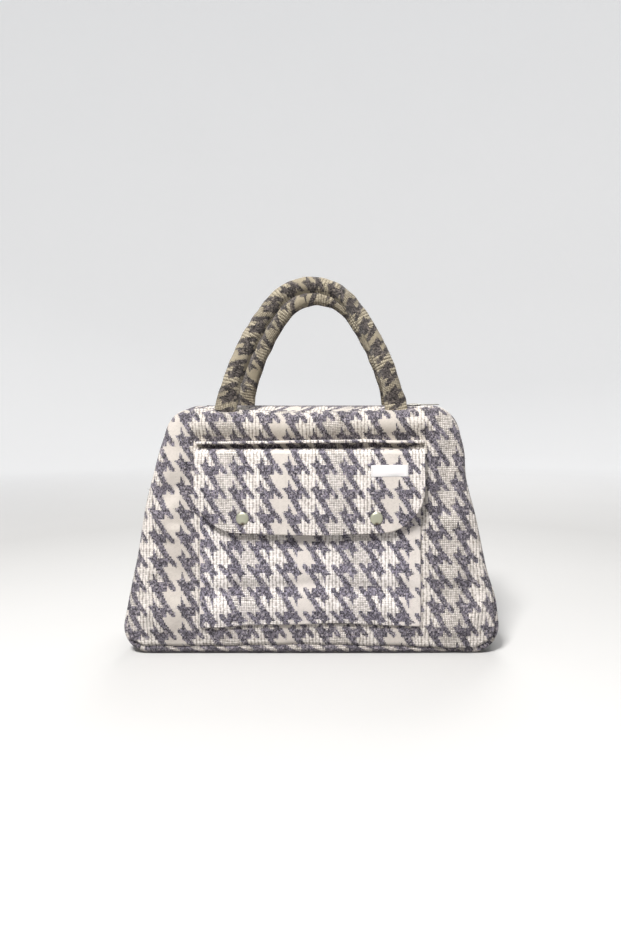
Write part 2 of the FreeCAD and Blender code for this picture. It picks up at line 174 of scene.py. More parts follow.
class Outline:
    """A closed line of straights and tangent arcs in the XZ plane, anticlockwise, addressed by its length."""
    fineness = 0.0004

    def __init__(self, corners, radii):
        points, normals = [], []
        n = len(corners)
        for i in range(n):
            corner, before, after = (np.array(corners[j % n], float) for j in (i, i - 1, i + 1))
            into, out = unit(corner - before), unit(after - corner)
            turn = math.acos(np.clip(into @ out, -1, 1))
            first = np.array([into[1], -into[0]])
            start = corner - into * radii[i] * math.tan(turn / 2)
            centre = start - first * radii[i]
            steps = max(2, int(turn * radii[i] / self.fineness))
            for a in np.linspace(0, turn, steps):
                c, s = math.cos(a), math.sin(a)
                normal = np.array([c * first[0] - s * first[1], s * first[0] + c * first[1]])
                points.append(centre + normal * radii[i])
                normals.append(normal)
        points.append(points[0])
        normals.append(normals[0])
        self.points, self.normals = np.array(points), np.array(normals)
        steps = np.linalg.norm(np.diff(self.points, axis=0), axis=1)
        self.lengths = np.concatenate([[0], np.cumsum(steps)])
        self.total = self.lengths[-1]

    def at(self, s):
        """Points and outward normals at these lengths."""
        s = np.mod(s, self.total)
        point = np.stack([np.interp(s, self.lengths, self.points[:, k]) for k in (0, 1)], axis=-1)
        normal = np.stack([np.interp(s, self.lengths, self.normals[:, k]) for k in (0, 1)], axis=-1)
        return point, normal / np.linalg.norm(normal, axis=-1, keepdims=True)

    def find(self, x, z):
        """The length at which the line passes nearest to a point."""
        fine = np.linspace(0, self.total, 8000, endpoint=False)
        point, _ = self.at(fine)
        return fine[np.argmin(np.hypot(point[:, 0] - x, point[:, 1] - z))]

    def around(self, n, middle):
        """2n lengths: from the left at height middle along the bottom to the right, and back over the top."""
        wide = np.abs(self.points[:, 0]).max() * 2
        left, right = self.find(-wide, middle), self.find(wide, middle)
        lower = (right - left) % self.total
        below = left + lower * np.arange(n) / n
        above = right + (self.total - lower) * np.arange(n) / n
        return np.concatenate([below, above])


def grid_faces(rows, columns, closed):
    """Quads between rows of vertices, as indices."""
    last = columns if closed else columns - 1
    r, c = np.meshgrid(np.arange(rows - 1), np.arange(last), indexing="ij")
    d = (c + 1) % columns
    here, above = r * columns, (r + 1) * columns
    return np.stack([here + c, here + d, above + d, above + c], axis=-1).reshape(-1, 4).tolist()


def capped(rows, columns):
    """Faces of a closed bar: quads between its rings, and one face over each end."""
    last = (rows - 1) * columns
    return grid_faces(rows, columns, True) + [list(range(columns))[::-1], list(range(last, last + columns))]


def ladder_faces(base, n):
    """Faces that close a ring of 2n vertices by joining its lower half to its upper half."""
    quads = [[base + i, base + i + 1, base + 2 * n - i - 1, base + 2 * n - i] for i in range(1, n - 1)]
    ends = [[base, base + 1, base + 2 * n - 1], [base + n - 1, base + n, base + n + 1]]
    return quads + ends


def rings(outline, n, level, gaps, inner, medial, inner_last=0.97):
    """Rings of 2n points that close in from the outline on a level middle line.

    gaps are the first rings' distances from the outline. Returns the points and their true distances from it.
    """
    start, _ = outline.at(outline.around(n, level))
    edge = np.abs(start[0, 0]) * medial
    goal = np.stack([np.clip(start[:, 0] * medial, -edge, edge), np.full(len(start), level)], axis=-1)
    reach = np.linalg.norm(goal - start, axis=1)
    shares = [gap / reach for gap in gaps]
    for k in range(1, inner + 1):
        rest = (k / inner) ** 1.2
        shares.append(shares[len(gaps) - 1] * (1 - rest) + inner_last * rest)
    points = np.array([start + (goal - start) * share[:, None] for share in shares])
    border, _ = outline.at(np.linspace(0, outline.total, 700, endpoint=False))
    flat = points.reshape(-1, 2)
    depths = np.concatenate([np.sqrt(((part[:, None] - border[None]) ** 2).sum(axis=2).min(axis=1))
                             for part in np.array_split(flat, 16)])
    depths[:len(start)] = 0
    return points, depths.reshape(points.shape[:2])


def make(name, vertices, faces, uv=None):
    """A mesh object. uv holds one point of cloth, in metres, for each vertex."""
    mesh = bpy.data.meshes.new(name)
    mesh.from_pydata(np.asarray(vertices, float).reshape(-1, 3).tolist(), [], faces)
    mesh.update()
    if uv is not None:
        layer = mesh.uv_layers.new(name="cloth")
        corners = np.zeros(len(mesh.loops), int)
        mesh.loops.foreach_get("vertex_index", corners)
        layer.data.foreach_set("uv", np.asarray(uv, float).reshape(-1, 2)[corners].astype(np.float32).ravel())
    mesh.polygons.foreach_set("use_smooth", np.ones(len(mesh.polygons), bool))
    obj = bpy.data.objects.new(name, mesh)
    bpy.context.scene.collection.objects.link(obj)
    return obj


def finish_piece(obj, body, look, replaces=()):
    """Set a piece's material, the body it rides on and the nodes it stands for."""
    obj.data.materials.clear()
    obj.data.materials.append(look)
    if "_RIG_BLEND" not in obj.data.attributes:
        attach(obj, body)
    if replaces:
        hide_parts(*replaces)


def dress(nodes, name):
    """Give parts of the frame that stay as they are a material."""
    for node in nodes:
        slots = frame["nodes"][node].data.materials
        slots.clear()
        slots.append(material(name))


def joined(parts):
    """Several (vertices, faces, uv) made into one."""
    vertices, faces, uvs, base = [], [], [], 0
    for v, f, uv in parts:
        vertices.append(v)
        uvs.append(uv)
        faces += [[k + base for k in face] for face in f]
        base += len(v)
    return np.concatenate(vertices), faces, np.concatenate(uvs)


def tube(points, radius, sides):
    """A round bar through points with closed ends, as (vertices, faces, uv)."""
    points = np.asarray(points, float)
    along = np.gradient(points, axis=0)
    along /= np.linalg.norm(along, axis=1, keepdims=True)
    up = np.array([0.0, 0.0, 1.0]) if abs(along[:, 2]).max() < 0.9 else np.array([0.0, 1.0, 0.0])
    side = np.cross(along, up)
    side /= np.linalg.norm(side, axis=1, keepdims=True)
    rise = np.cross(side, along)
    radius = np.broadcast_to(radius, len(points))
    angle = np.linspace(0, 2 * math.pi, sides, endpoint=False)
    ring = side[:, None] * np.cos(angle)[None, :, None] + rise[:, None] * np.sin(angle)[None, :, None]
    v = points[:, None] + ring * radius[:, None, None]
    run = np.concatenate([[0], np.cumsum(np.linalg.norm(np.diff(points, axis=0), axis=1))])
    uv = np.stack(np.meshgrid(angle * radius.max(), run), axis=-1)
    return v.reshape(-1, 3), flipped(capped(len(points), sides)), uv.reshape(-1, 2)


def lathe(profile, centre, axis, sides=40):
    """A turned piece: profile gives (radius, distance along axis), closed on the axis at both ends."""
    axis = unit(np.array(axis, float))
    a = unit(np.cross(axis, [1.0, 0.0, 0.0]))
    b = np.cross(axis, a)
    angle = np.linspace(0, 2 * math.pi, sides, endpoint=False)
    ring = a[None] * np.cos(angle)[:, None] + b[None] * np.sin(angle)[:, None]
    v = np.array([np.array(centre) + axis * h + ring * r for r, h in profile]).reshape(-1, 3)
    return v, capped(len(profile), sides), v[:, [0, 2]]


def capsule_row(points, normals, gap_share=0.28, radius=0.00028, lift=0.0001):
    """Sewing stitches along a line: short raised threads that dip at both ends."""
    parts = []
    for k in range(len(points) - 1):
        a, b = points[k], points[k + 1]
        start, end = a + (b - a) * gap_share / 2, b - (b - a) * gap_share / 2
        t = np.linspace(0, 1, 6)
        arch = np.sin(math.pi * t) * 1.6 * radius - 0.9 * radius + lift
        line = start + (end - start) * t[:, None] + normals[k] * arch[:, None]
        parts.append(tube(line, radius * (0.75 + 0.25 * np.sin(math.pi * t)), 6))
    return joined(parts)


def vertex_normals(vertices, faces):
    """Outward unit normals of a mesh's vertices."""
    normals = np.zeros_like(vertices)
    for sides in (3, 4):
        f = np.array([face for face in faces if len(face) == sides])
        if len(f):
            corner = [vertices[f[:, k]] for k in range(sides)]
            if sides == 3:
                across = np.cross(corner[1] - corner[0], corner[2] - corner[0])
            else:
                across = np.cross(corner[2] - corner[0], corner[3] - corner[1])
            for k in range(sides):
                np.add.at(normals, f[:, k], across)
    return normals / np.maximum(np.linalg.norm(normals, axis=1, keepdims=True), 1e-12)


def shell(vertices, faces, uv, rim, near, far, held=None):
    """A closed layer of cloth lying between two depths under a surface.

    rim is the surface's border, in order. held gives vertices turned in at a seam, and their directions.
    """
    normals = vertex_normals(vertices, faces)
    if held is not None:
        normals[held[0]] = held[1]
    count = len(vertices)
    both = np.concatenate([vertices - normals * near, vertices - normals * far])
    under = [[k + count for k in face[::-1]] for face in faces]
    edge = [[b, a, a + count, b + count] for a, b in zip(rim, rim[1:] + rim[:1])]
    return both, faces + under + edge, np.concatenate([uv, uv])


def grid_rim(rows, columns):
    """The border of an open grid, in the order that its faces run."""
    rim = list(range(columns)) + [r * columns + columns - 1 for r in range(1, rows)]
    rim += [(rows - 1) * columns + c for c in range(columns - 2, -1, -1)]
    return rim + [r * columns for r in range(rows - 2, 0, -1)]


def flipped(faces):
    return [face[::-1] for face in faces]


def grid_surface(rows, columns, turned):
    """The faces and the border of an open grid, turned over where asked."""
    faces, rim = grid_faces(rows, columns, False), grid_rim(rows, columns)
    return (flipped(faces), rim[::-1]) if turned else (faces, rim)


def frayed(roots, directions, uv, length_mm, seed, radius=0.00010):
    """Short loose yarn ends standing off a surface, each a thin closed cone of three sides."""
    rng = np.random.RandomState(seed)
    parts = []
    for root, direction, at in zip(roots, directions, uv):
        lean = unit(direction + rng.normal(0, 0.55, 3))
        bend = rng.normal(0, 0.35, 3)
        reach = rng.uniform(*length_mm) * MM
        line = [root - lean * 0.0005, root + lean * reach * 0.5, root + lean * reach + bend * reach * 0.5]
        v, f, _ = tube(np.array(line), radius * np.array([1.0, 0.8, 0.3]), 3)
        parts.append((v, f, np.repeat([at], len(v), axis=0)))
    return joined(parts)


def mark(piece, name, amount):
    """Give a piece a number at each vertex, for its material to read."""
    layer = piece.data.attributes.new(name, "FLOAT", "POINT")
    layer.data.foreach_set("value", np.broadcast_to(amount, len(piece.data.vertices)).astype(np.float32))


def paint_shade_and_soil(piece, amount):
    """Mark how much painted shade darkens a piece's cloth (below 0 it paints light; on the handles it also
    stands for handling dirt).
    """
    mark(piece, "painted_shade_and_soil", amount)


def lay(across, down, repeat, phase, way=-1):
    """Cloth coordinates for points on a piece whose weave has its own slight stretch and start.

    repeat is in mm. The cloth's own repeat stands for one repeat here, whatever its size on this piece. The
    pocket is cut with its weave upright, way 1, and everything else with it turned round, way -1.
    """
    look = bpy.context.scene.handbag_cloth
    u = way * (np.asarray(across) / (repeat[0] * MM) + phase[0]) * look.repeat_width
    v = way * (np.asarray(down) / (repeat[1] * MM) + phase[1]) * look.repeat_height
    return np.stack(np.broadcast_arrays(u, v), axis=-1).reshape(-1, 2)


# ---------------------------------------------------------------- materials
class Graph:
    """A material's node tree, built with short calls. Each call returns an output socket."""

    def __init__(self, name):
        self.material = bpy.data.materials.new(name)
        self.material.use_nodes = True
        self.tree = self.material.node_tree
        self.shader = self.tree.nodes["Principled BSDF"]

    def put(self, socket, value):
        if isinstance(value, bpy.types.NodeSocket):
            self.tree.links.new(value, socket)
        elif isinstance(value, (tuple, list)) or hasattr(value, "__len__"):
            socket.default_value = (*value, 1.0) if len(value) == 3 and socket.type == "RGBA" else value
        else:
            socket.default_value = value

    def node(self, kind, output=0, inputs=None, **settings):
        node = self.tree.nodes.new(kind)
        for key, value in settings.items():
            setattr(node, key, value)
        for key, value in (inputs or {}).items():
            self.put(node.inputs[key], value)
        return node.outputs[output]

    def math(self, operation, *values):
        return self.node("ShaderNodeMath", inputs=dict(enumerate(values)), operation=operation)

    def mix(self, factor, a, b, blend="MIX"):
        node = self.tree.nodes.new("ShaderNodeMix")
        node.data_type, node.blend_type = "RGBA", blend
        for key, value in (("Factor", factor), ("A", a), ("B", b)):
            socket = next(s for s in node.inputs if s.name == key and s.enabled)
            self.put(socket, value)
        return next(s for s in node.outputs if s.enabled)

    def times(self, a, b):
        return self.math("MULTIPLY", a, b)

    def plus(self, a, b):
        return self.math("ADD", a, b)

    def less(self, value):
        """1 less a value."""
        return self.math("SUBTRACT", 1.0, value)

    def cell(self, value, count):
        """The whole number of the cell that a place is in, with count cells to each repeat."""
        return self.math("FLOOR", self.times(value, count))

    def parts(self, vector):
        """The three numbers of a vector or a colour."""
        split = self.tree.nodes.new("ShaderNodeSeparateXYZ")
        self.put(split.inputs[0], vector)
        return list(split.outputs)

    def choose(self, factor, a, b):
        """a where the factor is 0 and b where it is 1, for numbers."""
        return self.plus(self.times(a, self.less(factor)), self.times(b, factor))

    def random(self, x, y):
        """A fixed random number for each pair of whole numbers."""
        cell = self.node("ShaderNodeCombineXYZ", inputs={"X": x, "Y": y})
        return self.node("ShaderNodeTexWhiteNoise", inputs={"Vector": cell}, noise_dimensions="2D")

    def noise(self, scale, detail):
        place = self.node("ShaderNodeTexCoord", "Object")
        return self.node("ShaderNodeTexNoise", "Fac", {"Vector": place, "Scale": scale, "Detail": detail})

    def finish(self, colour_value, height=None, distance=0.0005, strength=0.6, **sockets):
        self.put(self.shader.inputs["Base Color"], colour_value)
        for name, value in sockets.items():
            self.put(self.shader.inputs[name.replace("_", " ")], value)
        if height is not None:
            bump = self.node("ShaderNodeBump", "Normal",
                             {"Height": height, "Distance": distance, "Strength": strength})
            self.put(self.shader.inputs["Normal"], bump)
        return self.material


# Threads in each repeat of the cloth, and the steps in a tooth's edge.
THREADS_ACROSS, THREADS_DOWN = 16.0, 14.0
STEPS_ACROSS, STEPS_DOWN = 20.0, 18.0


def darker(tone, share):
    return tuple(share * c for c in tone)


def tooth(g, u, v):
    """1 on the light yarn and 0 on the dark: a leaning body, two legs under it and a tail beside it."""
    def above(value, low):
        return g.math("GREATER_THAN", value, low)

    def below(value, high):
        return g.math("LESS_THAN", value, high)

    def band(value, low, high):
        return g.times(above(value, low), below(value, high))

    def line(start, slope, along):
        return g.plus(start, g.times(slope, along))

    across, down = g.math("FRACT", u), g.math("FRACT", v)
    body = g.times(band(across, line(0.18, -4.0, down), line(0.42, 0.46, down)), below(down, 0.55))
    right = g.times(band(across, line(-0.14, 0.8, down), 0.5), band(down, 0.5, 0.76))
    stray = g.times(0.62, g.math("MAXIMUM", 0.0, g.math("SUBTRACT", down, 0.68)))
    left = g.times(band(g.math("SUBTRACT", across, stray), -0.01, 0.19), above(down, 0.5))
    fall = g.math("SUBTRACT", down, above(down, 0.7))
    past = g.plus(across, below(across, 0.3))
    off = g.math("ABSOLUTE", g.math("SUBTRACT", past, line(0.745, 0.47, fall)))
    half = g.math("SUBTRACT", 0.1, g.times(0.06, g.math("MAXIMUM", 0.0, fall)))
    tail = g.times(below(off, half), band(fall, -0.07, 0.55))
    return g.math("MAXIMUM", g.math("MAXIMUM", body, right), g.math("MAXIMUM", left, tail))


def houndstooth():
    """The woven cloth: slate and cream teeth with ragged edges, whose cream columns change their weave."""
    look = bpy.context.scene.handbag_cloth
    g = Graph("houndstooth cloth")
    uv = g.node("ShaderNodeUVMap", uv_map="cloth")
    place = g.parts(uv)

    def sway(scale, depth):
        drift = g.node("ShaderNodeTexNoise", "Color", {"Vector": uv, "Scale": scale, "Detail": 1.0})
        return [g.times(g.math("SUBTRACT", part, 0.5), depth) for part in g.parts(drift)[:2]]

    def stepped(value, count, shift):
        middle = g.plus(g.cell(value, count), 0.5)
        return g.plus(g.math("DIVIDE", middle, count), shift)

    def arch(value, count=1.0):
        return g.math("SINE", g.times(g.math("FRACT", g.times(value, count)), math.pi))

    slow, ragged = sway(60.0, 0.09), sway(820.0, 0.13)
    u = g.plus(g.math("DIVIDE", place[0], look.repeat_width), slow[0])
    v = g.plus(g.math("DIVIDE", place[1], look.repeat_height), slow[1])
    cream = tooth(g, stepped(u, STEPS_ACROSS, ragged[0]), stepped(v, STEPS_DOWN, ragged[1]))
    thread = g.random(g.cell(u, THREADS_ACROSS), g.cell(v, THREADS_DOWN))
    fine = g.random(g.cell(u, 2.5 * THREADS_ACROSS), g.cell(v, 1.5 * THREADS_DOWN))
    across, down = arch(u, THREADS_ACROSS), arch(v, THREADS_DOWN)

    # The columns take turns: twill, rib, plain, rib.
    column = g.math("FRACT", g.times(g.math("FLOOR", g.plus(u, 0.32)), 0.25))
    is_twill = g.math("LESS_THAN", column, 0.1)
    is_plain = g.math("COMPARE", column, 0.5, 0.1)
    is_rib = g.less(g.plus(is_twill, is_plain))

    # How high the yarn stands.
    plain = g.times(across, down)
    wide = arch(u, 0.5 * THREADS_ACROSS)
    rib = g.times(wide, g.plus(0.35, g.times(down, 0.65)))
    rib = g.times(rib, g.plus(0.75, g.times(thread, 0.5)))
    twill = arch(g.plus(g.times(u, 1.3 * THREADS_ACROSS), g.times(v, 1.1 * THREADS_DOWN)))
    wale = arch(g.math("SUBTRACT", g.times(v, 1.5 * THREADS_DOWN), g.times(u, THREADS_ACROSS)))
    raised = g.plus(g.plus(g.times(plain, is_plain), g.times(rib, is_rib)),
                    g.times(g.plus(0.3, g.times(twill, 0.45)), is_twill))
    dark_raised = g.plus(g.times(wale, 0.45), g.times(fine, 0.25))
    height = g.choose(cream, dark_raised, g.plus(raised, 0.25))

    # Light yarn, with small dark holes between its knots.
    ridge = g.times(wide, g.plus(0.2, g.times(down, 0.8)))
    knot = g.choose(is_rib, g.times(plain, 2.5), g.times(ridge, 2.6))
    hole = g.times(g.math("MAXIMUM", 0.0, g.less(knot)), g.plus(0.45, g.times(thread, 0.9)))
    gap = g.choose(is_twill, g.math("MINIMUM", 1.0, hole), g.times(g.less(twill), 0.38))
    light = g.mix(g.times(is_twill, 0.55), look.cream[:], look.ecru[:])
    dull = g.times(g.times(thread, thread), g.choose(is_twill, 0.60, 0.20))
    light = g.mix(dull, light, darker(look.ecru, 0.62))
    light = g.mix(gap, light, look.gap[:])

    # Dark yarn, with lighter slanting lines and threads that differ.
    dark = g.mix(g.times(wale, 0.8), look.slate[:], look.plum[:])
    for amount, tone in ((g.times(g.math("GREATER_THAN", fine, 0.8), 0.55), look.plum[:]),
                         (g.times(g.math("LESS_THAN", fine, 0.28), 0.85), darker(look.slate, 0.35)),
                         (g.times(thread, 0.82), darker(look.slate, 0.32)),
                         (g.times(g.math("LESS_THAN", thread, 0.10), 0.22), look.ecru[:])):
        dark = g.mix(amount, dark, tone)

    # Painted shade darkens the cloth by each piece's mark, blue the most; a mark below 0 paints light, and on
    # the handles it is also handling dirt.
    painted_shade_and_soil = g.node("ShaderNodeAttribute", "Fac", attribute_name="painted_shade_and_soil")
    patchy = g.plus(0.90, g.times(g.noise(11.0, 3.0), 0.2))
    shade = [g.times(patchy, g.less(g.times(painted_shade_and_soil, share))) for share in (1.0, 1.05, 1.22)]
    tone = g.mix(cream, dark, light)
    tone = g.mix(1.0, tone, g.node("ShaderNodeCombineColor", inputs=dict(enumerate(shade))), "MULTIPLY")
    g.shader.inputs["Sheen Weight"].default_value = 0.12
    g.shader.inputs["Sheen Roughness"].default_value = 0.55
    g.shader.inputs["Specular IOR Level"].default_value = 0.25
    return g.finish(tone, height, 0.0009, 0.85, Roughness=g.choose(cream, 0.94, 0.86))


def plain_weave(name, base, fleck, pitch, distance):
    """A fine woven cloth or tape: two crossing sets of threads at the given pitch."""
    g = Graph(name)
    x, y, z = g.parts(g.node("ShaderNodeTexCoord", "Object"))
    total = g.plus(g.plus(x, y), z)
    other = g.math("SUBTRACT", g.math("SUBTRACT", x, y), z)
    one, two = (g.math("SINE", g.times(a, 2 * math.pi / pitch)) for a in (total, other))
    cell = g.random(*(g.math("FLOOR", g.math("DIVIDE", a, pitch)) for a in (total, other)))
    tone = g.mix(g.times(cell, 0.6), base, fleck)
    tone = g.mix(g.times(g.noise(18.0, 3.0), 0.25), tone, darker(base, 0.7))
    g.shader.inputs["Sheen Weight"].default_value = 0.15
    return g.finish(tone, g.times(one, two), distance, 0.5, Roughness=g.choose(cell, 0.9, 0.8))


def yarn(name, base, twist=900.0):
    """Thread or cord whose plies turn about it."""
    g = Graph(name)
    place = g.node("ShaderNodeTexCoord", "Object")
    ply = g.node("ShaderNodeTexWave", "Fac", {"Vector": place, "Scale": twist, "Distortion": 1.5})
    tone = g.mix(ply, darker(base, 0.72), base)
    return g.finish(tone, ply, 0.0002, 0.6, Roughness=g.choose(ply, 0.95, 0.8))


def plating(name, base, worn_tone, roughness):
    """Plated metal with fine scratches, worn through in places where the piece says so."""
    g = Graph(name)
    scratches = g.noise(900.0, 4.0)
    cloudy = g.noise(160.0, 3.0)
    marks = g.node("ShaderNodeAttribute", "Fac", attribute_name="wear_and_painted_shade")
    wear_and_painted_shade = g.math("MINIMUM", 1.0, g.times(marks, g.plus(0.55, cloudy)))
    tone = g.mix(g.times(cloudy, 0.35), base, darker(base, 0.7))
    tone = g.mix(wear_and_painted_shade, tone, worn_tone)
    rough = g.plus(roughness, g.times(scratches, 0.16))
    return g.finish(tone, scratches, 0.00005, 0.25, Roughness=rough, Metallic=g.choose(wear_and_painted_shade, 0.82, 0.25))


def woven_label():
    """Smooth white satin label cloth with fine cross ribs."""
    g = Graph("label cloth")
    across, down, _ = g.parts(g.node("ShaderNodeUVMap", uv_map="cloth"))
    ribs = g.math("SINE", g.times(down, 2 * math.pi / 0.00055))
    lines = g.math("SINE", g.times(across, 2 * math.pi / 0.0004))
    weave = g.times(ribs, lines)
    tone = g.mix(g.plus(0.5, g.times(weave, 0.3)), (0.70, 0.68, 0.68), (0.79, 0.77, 0.77))
    g.shader.inputs["Sheen Weight"].default_value = 0.1
    return g.finish(tone, weave, 0.0001, 0.5, Roughness=g.choose(0.5, 0.7, 0.6))


def foam():
    """Fine open foam."""
    g = Graph("foam")
    cells = g.node("ShaderNodeTexVoronoi", "Distance",
                   {"Vector": g.node("ShaderNodeTexCoord", "Object"), "Scale": 900.0})
    return g.finish(g.mix(cells, (0.55, 0.52, 0.44), (0.78, 0.75, 0.66)), cells, 0.0003, 0.6, Roughness=0.95)


def fibreboard():
    """Pressed brown fibreboard."""
    g = Graph("fibreboard")
    flecks = g.noise(420.0, 5.0)
    return g.finish(g.mix(flecks, (0.20, 0.13, 0.08), (0.42, 0.31, 0.20)), flecks, 0.0002, 0.4,
                    Roughness=g.choose(flecks, 0.8, 0.65))


def nylon():
    """The zip's moulded nylon coil."""
    g = Graph("nylon coil")
    haze = g.noise(300.0, 2.0)
    return g.finish(g.mix(haze, (0.11, 0.10, 0.12), (0.17, 0.155, 0.18)), haze, 0.0001, 0.2,
                    Roughness=g.choose(haze, 0.35, 0.5))


MATERIALS = {}


def material(name):
    """A shared material, made when it is first asked for."""
    if name not in MATERIALS:
        look = bpy.context.scene.handbag_cloth
        makers = {
            "cloth": houndstooth,
            "lining": lambda: plain_weave("lining cloth", look.lining[:], look.plum[:], 0.0006, 0.0002),
            "tape": lambda: plain_weave("zip tape", look.slate[:], look.plum[:], 0.0008, 0.0003),
            "coil": nylon,
            "thread": lambda: yarn("sewing thread", (0.40, 0.36, 0.34)),
            "white_thread": lambda: yarn("white thread", (0.82, 0.80, 0.80)),
            "cord": lambda: yarn("cotton cord", (0.62, 0.56, 0.46), 500.0),
            "snap": lambda: plating("snap plating", look.metal[:], (0.075, 0.045, 0.028), 0.30),
            "zip": lambda: plating("zip plating", look.zip_metal[:], (0.14, 0.11, 0.08), 0.36),
            "label": woven_label,
            "foam": foam,
            "board": fibreboard,
        }
        MATERIALS[name] = makers[name]()
    return MATERIALS[name]


# ---------------------------------------------------------------- the padded body
SEAM_SHARES = (0.0, 0.08, 0.2, 0.4, 0.68, 1.0)
SEAM_WIDTH = 0.0020
SEAM_TUCK = 2.6   # how far a piece's edge is turned in at a seam, as a multiple of the seam's depth


class BodyForm:
    """The padded body: two rounded panels and the gusset between them, as one surface.

    side is -1 at the front and +1 at the rear. Round the edge of a panel the surface turns through a quarter
    circle, and an angle on it is 0 at the flat face and a right angle at the outline.
    """

    def __init__(self):
        size = bpy.context.scene.handbag_body
        self.size = size
        self.front, self.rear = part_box("front_panel")[0].y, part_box("rear_panel")[1].y
        self.middle = (self.front + self.rear) / 2
        self.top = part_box("front_top_border")[1].z
        wide, narrow = size.base_half_width, size.top_half_width
        corners = [(-wide, 0), (wide, 0), (narrow, self.top), (-narrow, self.top)]
        radii = [size.base_corner, size.base_corner, size.top_corner, size.top_corner]
        self.outline = Outline(corners, radii)

    def face(self, side):
        return self.front if side < 0 else self.rear

    def seam_angle(self, s, side):
        """Where on the rolled edge the gusset is sewn: near the outline, but on the face along the bottom."""
        point, normal = self.outline.at(s)
        x, z = point.T
        x = -side * x
        under = smooth((-normal[:, 1] - 0.15) / 0.75)
        creep = 0.55 * smooth((0.070 - z) / 0.06)
        share = np.maximum(under, creep)
        low = 15.0 + 24.0 * hump(x, 0.122, 0.024) - 10.0 * hump(x, -0.008, 0.05) + 2.5 * np.sin(x * 160.0)
        high = 77.0
        return np.radians(high * (1 - share) + low * share)

    def rolled(self, s, angle, side):
        """Points on the rolled edge, and the outward direction there."""
        point, normal = self.outline.at(s)
        roll = self.size.roll
        angle = np.broadcast_to(angle, s.shape)
        flat = point - normal * (roll * (1 - np.sin(angle)))[:, None]
        y = self.face(side) - side * roll * (1 - np.cos(angle))
        outward = normal * np.sin(angle)[:, None]
        out = np.stack([outward[:, 0], side * np.cos(angle), outward[:, 1]], axis=-1)
        return np.stack([flat[:, 0], y, flat[:, 1]], axis=-1), out

    def seam_pull(self, distance):
        return self.size.seam_depth * np.exp(-(distance / SEAM_WIDTH) ** 2)

    def settle(self, points):
        """The hang of a used bag: its top edges dip between the corners, and its sides are uneven."""
        x, y, z = np.asarray(points, float).T
        edge = smooth((np.abs(y - self.middle) - 0.014) / 0.022)
        dip = self.size.sag * (hump(x, 0.01, 0.085) - 0.30 * hump(x, 0.105, 0.022))
        drop = dip + 0.0021 * smooth((0.03 - x) / 0.06)
        right = 0.0012 + 0.0022 * hump(z, 0.046, 0.018)
        right = right - 0.0020 * hump(z, 0.146, 0.020) + 0.0012 * hump(z, 0.172, 0.012)
        left = 0.0010 + 0.0022 * hump(z, 0.125, 0.035)
        left = left + 0.0010 * hump(z, 0.058, 0.02) - 0.0018 * hump(z, 0.192, 0.012)
        uneven = smooth((x - 0.06) / 0.06) * right - smooth((-x - 0.06) / 0.06) * left
        return np.stack([x + uneven, y, z - drop * edge * smooth((z - 0.13) / 0.07)], axis=-1)

    def panel(self, side, swell, repeat, n, inner=46):
        """A panel's surface from its seam to its middle: vertices, faces, cloth coordinates and its rim."""
        level = 0.46 * self.top
        s = self.outline.around(n, level)
        seam = self.seam_angle(s, side)
        point, normal = self.outline.at(s)
        roll = self.size.roll
        rows, flat, reach = [], [], []
        start = point - normal * roll
        edge, out = self.rolled(s, seam, side)
        rows.append(edge - out * SEAM_TUCK * self.size.seam_depth)
        flat.append(start + normal * (roll * seam)[:, None])
        reach.append(np.zeros(len(s)))
        held = (np.arange(3 * len(s)), np.tile(out, (3, 1)))
        for share in SEAM_SHARES:
            angle = seam * (1 - share)
            edge, out = self.rolled(s, angle, side)
            rows.append(edge - out * self.seam_pull(roll * seam * share)[:, None])
            flat.append(start + normal * (roll * angle)[:, None])
            reach.append(roll * seam * share)
        core = 0.42   # the middle line's length, as a share of the panel's width
        edge = core * np.abs(start[0, 0])
        goal = np.stack([np.clip(start[:, 0] * core, -edge, edge), np.full(len(s), level)], axis=-1)
        gone = np.linalg.norm(goal - start, axis=1)
        for k in range(1, inner + 1):
            share = 0.975 * (k / inner) ** 1.2
            place = start * (1 - share) + goal * share
            distance = roll * seam + gone * share
            y = self.face(side) - side * self.seam_pull(distance)
            rows.append(np.stack([place[:, 0], y, place[:, 1]], axis=-1))
            flat.append(place)
            reach.append(distance)
        vertices = np.concatenate(rows)
        flat, reach = np.concatenate(flat), np.concatenate(reach)
        lift = swell(flat[:, 0], flat[:, 1]) * smooth(reach / 0.024)
        vertices[:, 1] += side * lift
        around = 2 * n
        faces = grid_faces(len(rows), around, True) + ladder_faces((len(rows) - 1) * around, n)
        rim = list(range(around))
        if side > 0:
            faces, rim = flipped(faces), rim[::-1]
        uv = self.lay_panel(side, flat, repeat)
        return self.settle(vertices), faces, uv, rim, held

    def lay_panel(self, side, flat, repeat):
        """The panel's weave, which the making of the bag pulled a little out of true."""
        x, z = -side * flat[:, 0], flat[:, 1]
        wide = np.clip(x / 0.125, -1, 1)
        upper = smooth((z - 0.15) / 0.045)
        across = 0.680 + 0.116 * wide + 0.225 * upper * hump(x, 0, 0.15)
        down = 0.146 + 0.078 * wide + 0.135 * upper
        return lay(x, -z, repeat, (across, down))

